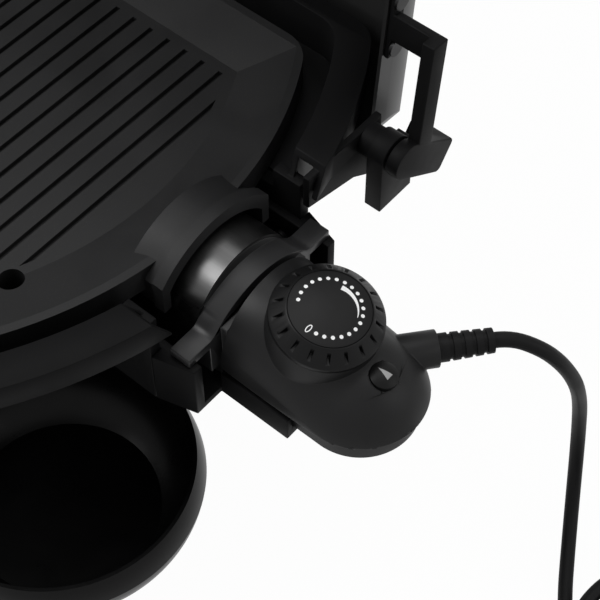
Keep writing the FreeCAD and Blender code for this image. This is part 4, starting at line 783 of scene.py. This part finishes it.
@dataclass
class TerminalShadeSheet:
    """A thin black sheet of painted shade under the terminal hood, with a lip on each side below the
    pan's rim: it stands in for the shadow under the grill that shows through the gap there.
    """

    gauge: float = 0.75 * MM
    sheet_level: float = 137.0 * MM
    sheet_outline: Outline = (
        (156.0, -53.0), (183.6, -53.0), (183.6, -40.0), (192.0, -40.0),
        (192.0, 40.0), (183.6, 40.0), (183.6, 53.0), (156.0, 53.0))
    lip_level: float = 165.6 * MM
    lip_outlines: tuple[Outline, ...] = (
        ((182.0, -58.0), (197.0, -58.0), (197.0, -52.3), (182.0, -52.3)),
        ((182.0, 52.3), (197.0, 52.3), (197.0, 58.0), (182.0, 58.0)))

    def slab(self, mesh: bmesh.types.BMesh, outline: Outline, level: float) -> None:
        """Adds a flat sheet of the shade sheet's gauge.

        Args:
            mesh: The shape that it is added to.
            outline: The sheet's corners in millimetres.
            level: The height of its underside.
        """
        corners = [mesh.verts.new((x * MM, y * MM, level)) for x, y in outline]
        grown = bmesh.ops.extrude_face_region(mesh, geom=[mesh.faces.new(corners)], use_keep_orig=True)
        top = [item for item in grown["geom"] if isinstance(item, bmesh.types.BMVert)]
        bmesh.ops.translate(mesh, vec=(0, 0, self.gauge), verts=top)

    def build(self) -> bpy.types.Object:
        """Makes the sheet and its lips.

        Returns:
            The new piece.
        """
        mesh = bmesh.new()
        self.slab(mesh, self.sheet_outline, self.sheet_level)
        for outline in self.lip_outlines:
            self.slab(mesh, outline, self.lip_level)
        # The sheet takes the black powder coat, so it reads as the shadow under the grill seen through
        # the gap: painted shade.
        return Piece.from_bmesh(mesh, "terminal_shade_sheet", Body.BASE, Finishes.TUBE, "black_tube")


@dataclass
class Base:
    """The frame, legs, pan, griddle and element."""

    nodes: tuple[str, ...] = (
        "base_frame", "controller_cradle", "cradle_screws", "reflector_pan", "leg_frame_left",
        "leg_frame_right", "leg_screws", "rubber_feet", "bowl_shelf", "shelf_screws", "hinge_clip_left",
        "hinge_clip_right", "hinge_pin_left", "hinge_pin_right", "griddle_plate", "heating_element",
        "terminal_pins", "element_clips")
    blackened: tuple[str, ...] = ("cradle_screws", "reflector_pan")
    softened: tuple[str, ...] = ("base_frame", "controller_cradle", "hinge_clip_left", "hinge_clip_right")
    edge: float = 0.5 * MM

    def build(self) -> None:
        """Dresses the base, rounds the edges of its mouldings and adds the black sheet of painted shade.
        """
        for node in self.nodes:
            Piece.dress(node, Finishes.BLACK_STEEL if node in self.blackened else None)
        for node in self.softened:
            Piece.soften(node, Body.BASE, self.edge)
        TerminalShadeSheet().build()


@dataclass
class Lid:
    """The roll-top lid with its handle and arms."""

    nodes: tuple[str, ...] = (
        "lid_shell", "lid_handle_grip", "lid_handle_posts", "lid_handle_screws", "lid_arm_left",
        "lid_arm_right", "lid_arm_rivets")
    blackened: tuple[str, ...] = ("lid_arm_rivets",)
    softened: tuple[str, ...] = ("lid_arm_left", "lid_arm_right")
    edge: float = 0.6 * MM

    def build(self) -> None:
        """Dresses the lid and rounds the edges of its arms."""
        for node in self.nodes:
            Piece.dress(node, Finishes.BLACK_STEEL if node in self.blackened else None)
        for node in self.softened:
            Piece.soften(node, Body.LID, self.edge)


@dataclass
class GreaseBowl:
    """The bowl under the drain."""

    node: str = "grease_bowl"

    def build(self) -> None:
        """Dresses the bowl."""
        Piece.dress(self.node, Finishes.BOWL)


@dataclass(frozen=True)
class Lamp:
    """A soft square lamp: where it hangs, where it points, its side and its power in watts."""

    name: str
    spot: Spot
    aim: Spot
    size: float
    power: float

    def hang(self) -> None:
        """Hangs the lamp and turns it to its aim."""
        data = bpy.data.lights.new(self.name, "AREA")
        data.size = self.size
        data.energy = self.power
        item = bpy.data.objects.new(self.name, data)
        item.location = self.spot
        item.rotation_euler = (Vector(self.aim) - Vector(self.spot)).to_track_quat("-Z", "Y").to_euler()
        bpy.context.scene.collection.objects.link(item)


@dataclass
class Studio:
    """The pale floor, the white surround, soft lamps and the camera."""

    camera_spot: Vector = field(default_factory=lambda: Vector((0.5091, -0.3057, 0.7367)))
    view: Vector = field(default_factory=lambda: Vector((-0.3766, 0.4458, -0.8121)))
    lens: float = 98.46
    sensor: float = 36.0
    nearest: float = 0.01
    floor_half: float = 4.0
    floor_tone: float = 0.9
    floor_roughness: float = 0.9
    floor_glow: float = 0.975
    ambient: float = 0.26
    lamps: tuple[Lamp, ...] = (
        Lamp("key", (-0.45, -0.5, 1.2), (0.2, 0.0, 0.17), 0.6, 9.0),
        Lamp("top", (0.1, 0.35, 1.5), (0.2, 0.0, 0.17), 1.0, 7.0),
        Lamp("side", (1.2, 0.4, 0.7), (0.25, 0.0, 0.17), 0.6, 2.2))

    @staticmethod
    def seen_directly(tree: bpy.types.NodeTree) -> Socket:
        """Adds nodes that tell rays from the camera, mirrors and glass from the rest.

        Args:
            tree: The node tree of the floor or the world.

        Returns:
            A factor that is 1 for such rays.
        """
        path = tree.nodes.new("ShaderNodeLightPath")
        first = tree.nodes.new("ShaderNodeMath")
        first.operation = "MAXIMUM"
        second = tree.nodes.new("ShaderNodeMath")
        second.operation = "MAXIMUM"
        tree.links.new(path.outputs["Is Camera Ray"], first.inputs[0])
        tree.links.new(path.outputs["Is Glossy Ray"], first.inputs[1])
        tree.links.new(first.outputs[0], second.inputs[0])
        tree.links.new(path.outputs["Is Transmission Ray"], second.inputs[1])
        return second.outputs[0]

    def world(self) -> None:
        """Makes the white surround, dimmer where it lights the object."""
        world = bpy.data.worlds.new("surround")
        bpy.context.scene.world = world
        world.use_nodes = True
        tree = world.node_tree
        light = tree.nodes["Background"]
        light.inputs["Color"].default_value = (1, 1, 1, 1)
        light.inputs["Strength"].default_value = self.ambient
        white = tree.nodes.new("ShaderNodeBackground")
        white.inputs["Color"].default_value = (1, 1, 1, 1)
        mix = tree.nodes.new("ShaderNodeMixShader")
        tree.links.new(self.seen_directly(tree), mix.inputs["Fac"])
        tree.links.new(light.outputs[0], mix.inputs[1])
        tree.links.new(white.outputs[0], mix.inputs[2])
        tree.links.new(mix.outputs[0], tree.nodes["World Output"].inputs["Surface"])

    def floor(self) -> None:
        """Makes the pale floor, which keeps a soft shadow."""
        mesh = bmesh.new()
        bmesh.ops.create_grid(mesh, x_segments=1, y_segments=1, size=self.floor_half)
        data = bpy.data.meshes.new("floor")
        mesh.to_mesh(data)
        mesh.free()
        item = bpy.data.objects.new("floor", data)
        bpy.context.scene.collection.objects.link(item)
        material = bpy.data.materials.new("pale_floor")
        material.use_nodes = True
        tree = material.node_tree
        matt = tree.nodes["Principled BSDF"]
        matt.inputs["Base Color"].default_value = (*[self.floor_tone] * 3, 1)
        matt.inputs["Roughness"].default_value = self.floor_roughness
        glow = tree.nodes.new("ShaderNodeEmission")
        share = tree.nodes.new("ShaderNodeMath")
        share.operation = "MULTIPLY"
        share.inputs[1].default_value = self.floor_glow
        mix = tree.nodes.new("ShaderNodeMixShader")
        tree.links.new(self.seen_directly(tree), share.inputs[0])
        tree.links.new(share.outputs[0], mix.inputs["Fac"])
        tree.links.new(matt.outputs[0], mix.inputs[1])
        tree.links.new(glow.outputs[0], mix.inputs[2])
        tree.links.new(mix.outputs[0], tree.nodes["Material Output"].inputs["Surface"])
        data.materials.append(material)

    def camera(self) -> None:
        """Sets the camera where the photograph was taken."""
        data = bpy.data.cameras.new("camera")
        data.sensor_width = self.sensor
        data.lens = self.lens
        data.clip_start = self.nearest
        item = bpy.data.objects.new("camera", data)
        ahead = self.view.normalized()
        right = ahead.cross(Vector((0, 0, 1))).normalized()
        up = right.cross(ahead)
        turn = Matrix((right, up, -ahead)).transposed().to_4x4()
        item.matrix_world = Matrix.Translation(self.camera_spot) @ turn
        bpy.context.scene.collection.objects.link(item)
        bpy.context.scene.camera = item

    def build(self) -> None:
        """Builds the stage."""
        self.world()
        self.floor()
        for lamp in self.lamps:
            lamp.hang()
        self.camera()
        bpy.context.scene.view_settings.view_transform = "Standard"


def main() -> None:
    """Builds the grill's sub-assemblies in order."""
    logging.basicConfig(level=logging.INFO, format="%(name)s %(message)s")
    for part in (Studio(), Base(), Lid(), GreaseBowl(), Control(), Cord()):
        part.build()
        LOG.info("built %s", type(part).__name__)


if __name__ == "__main__":
    main()
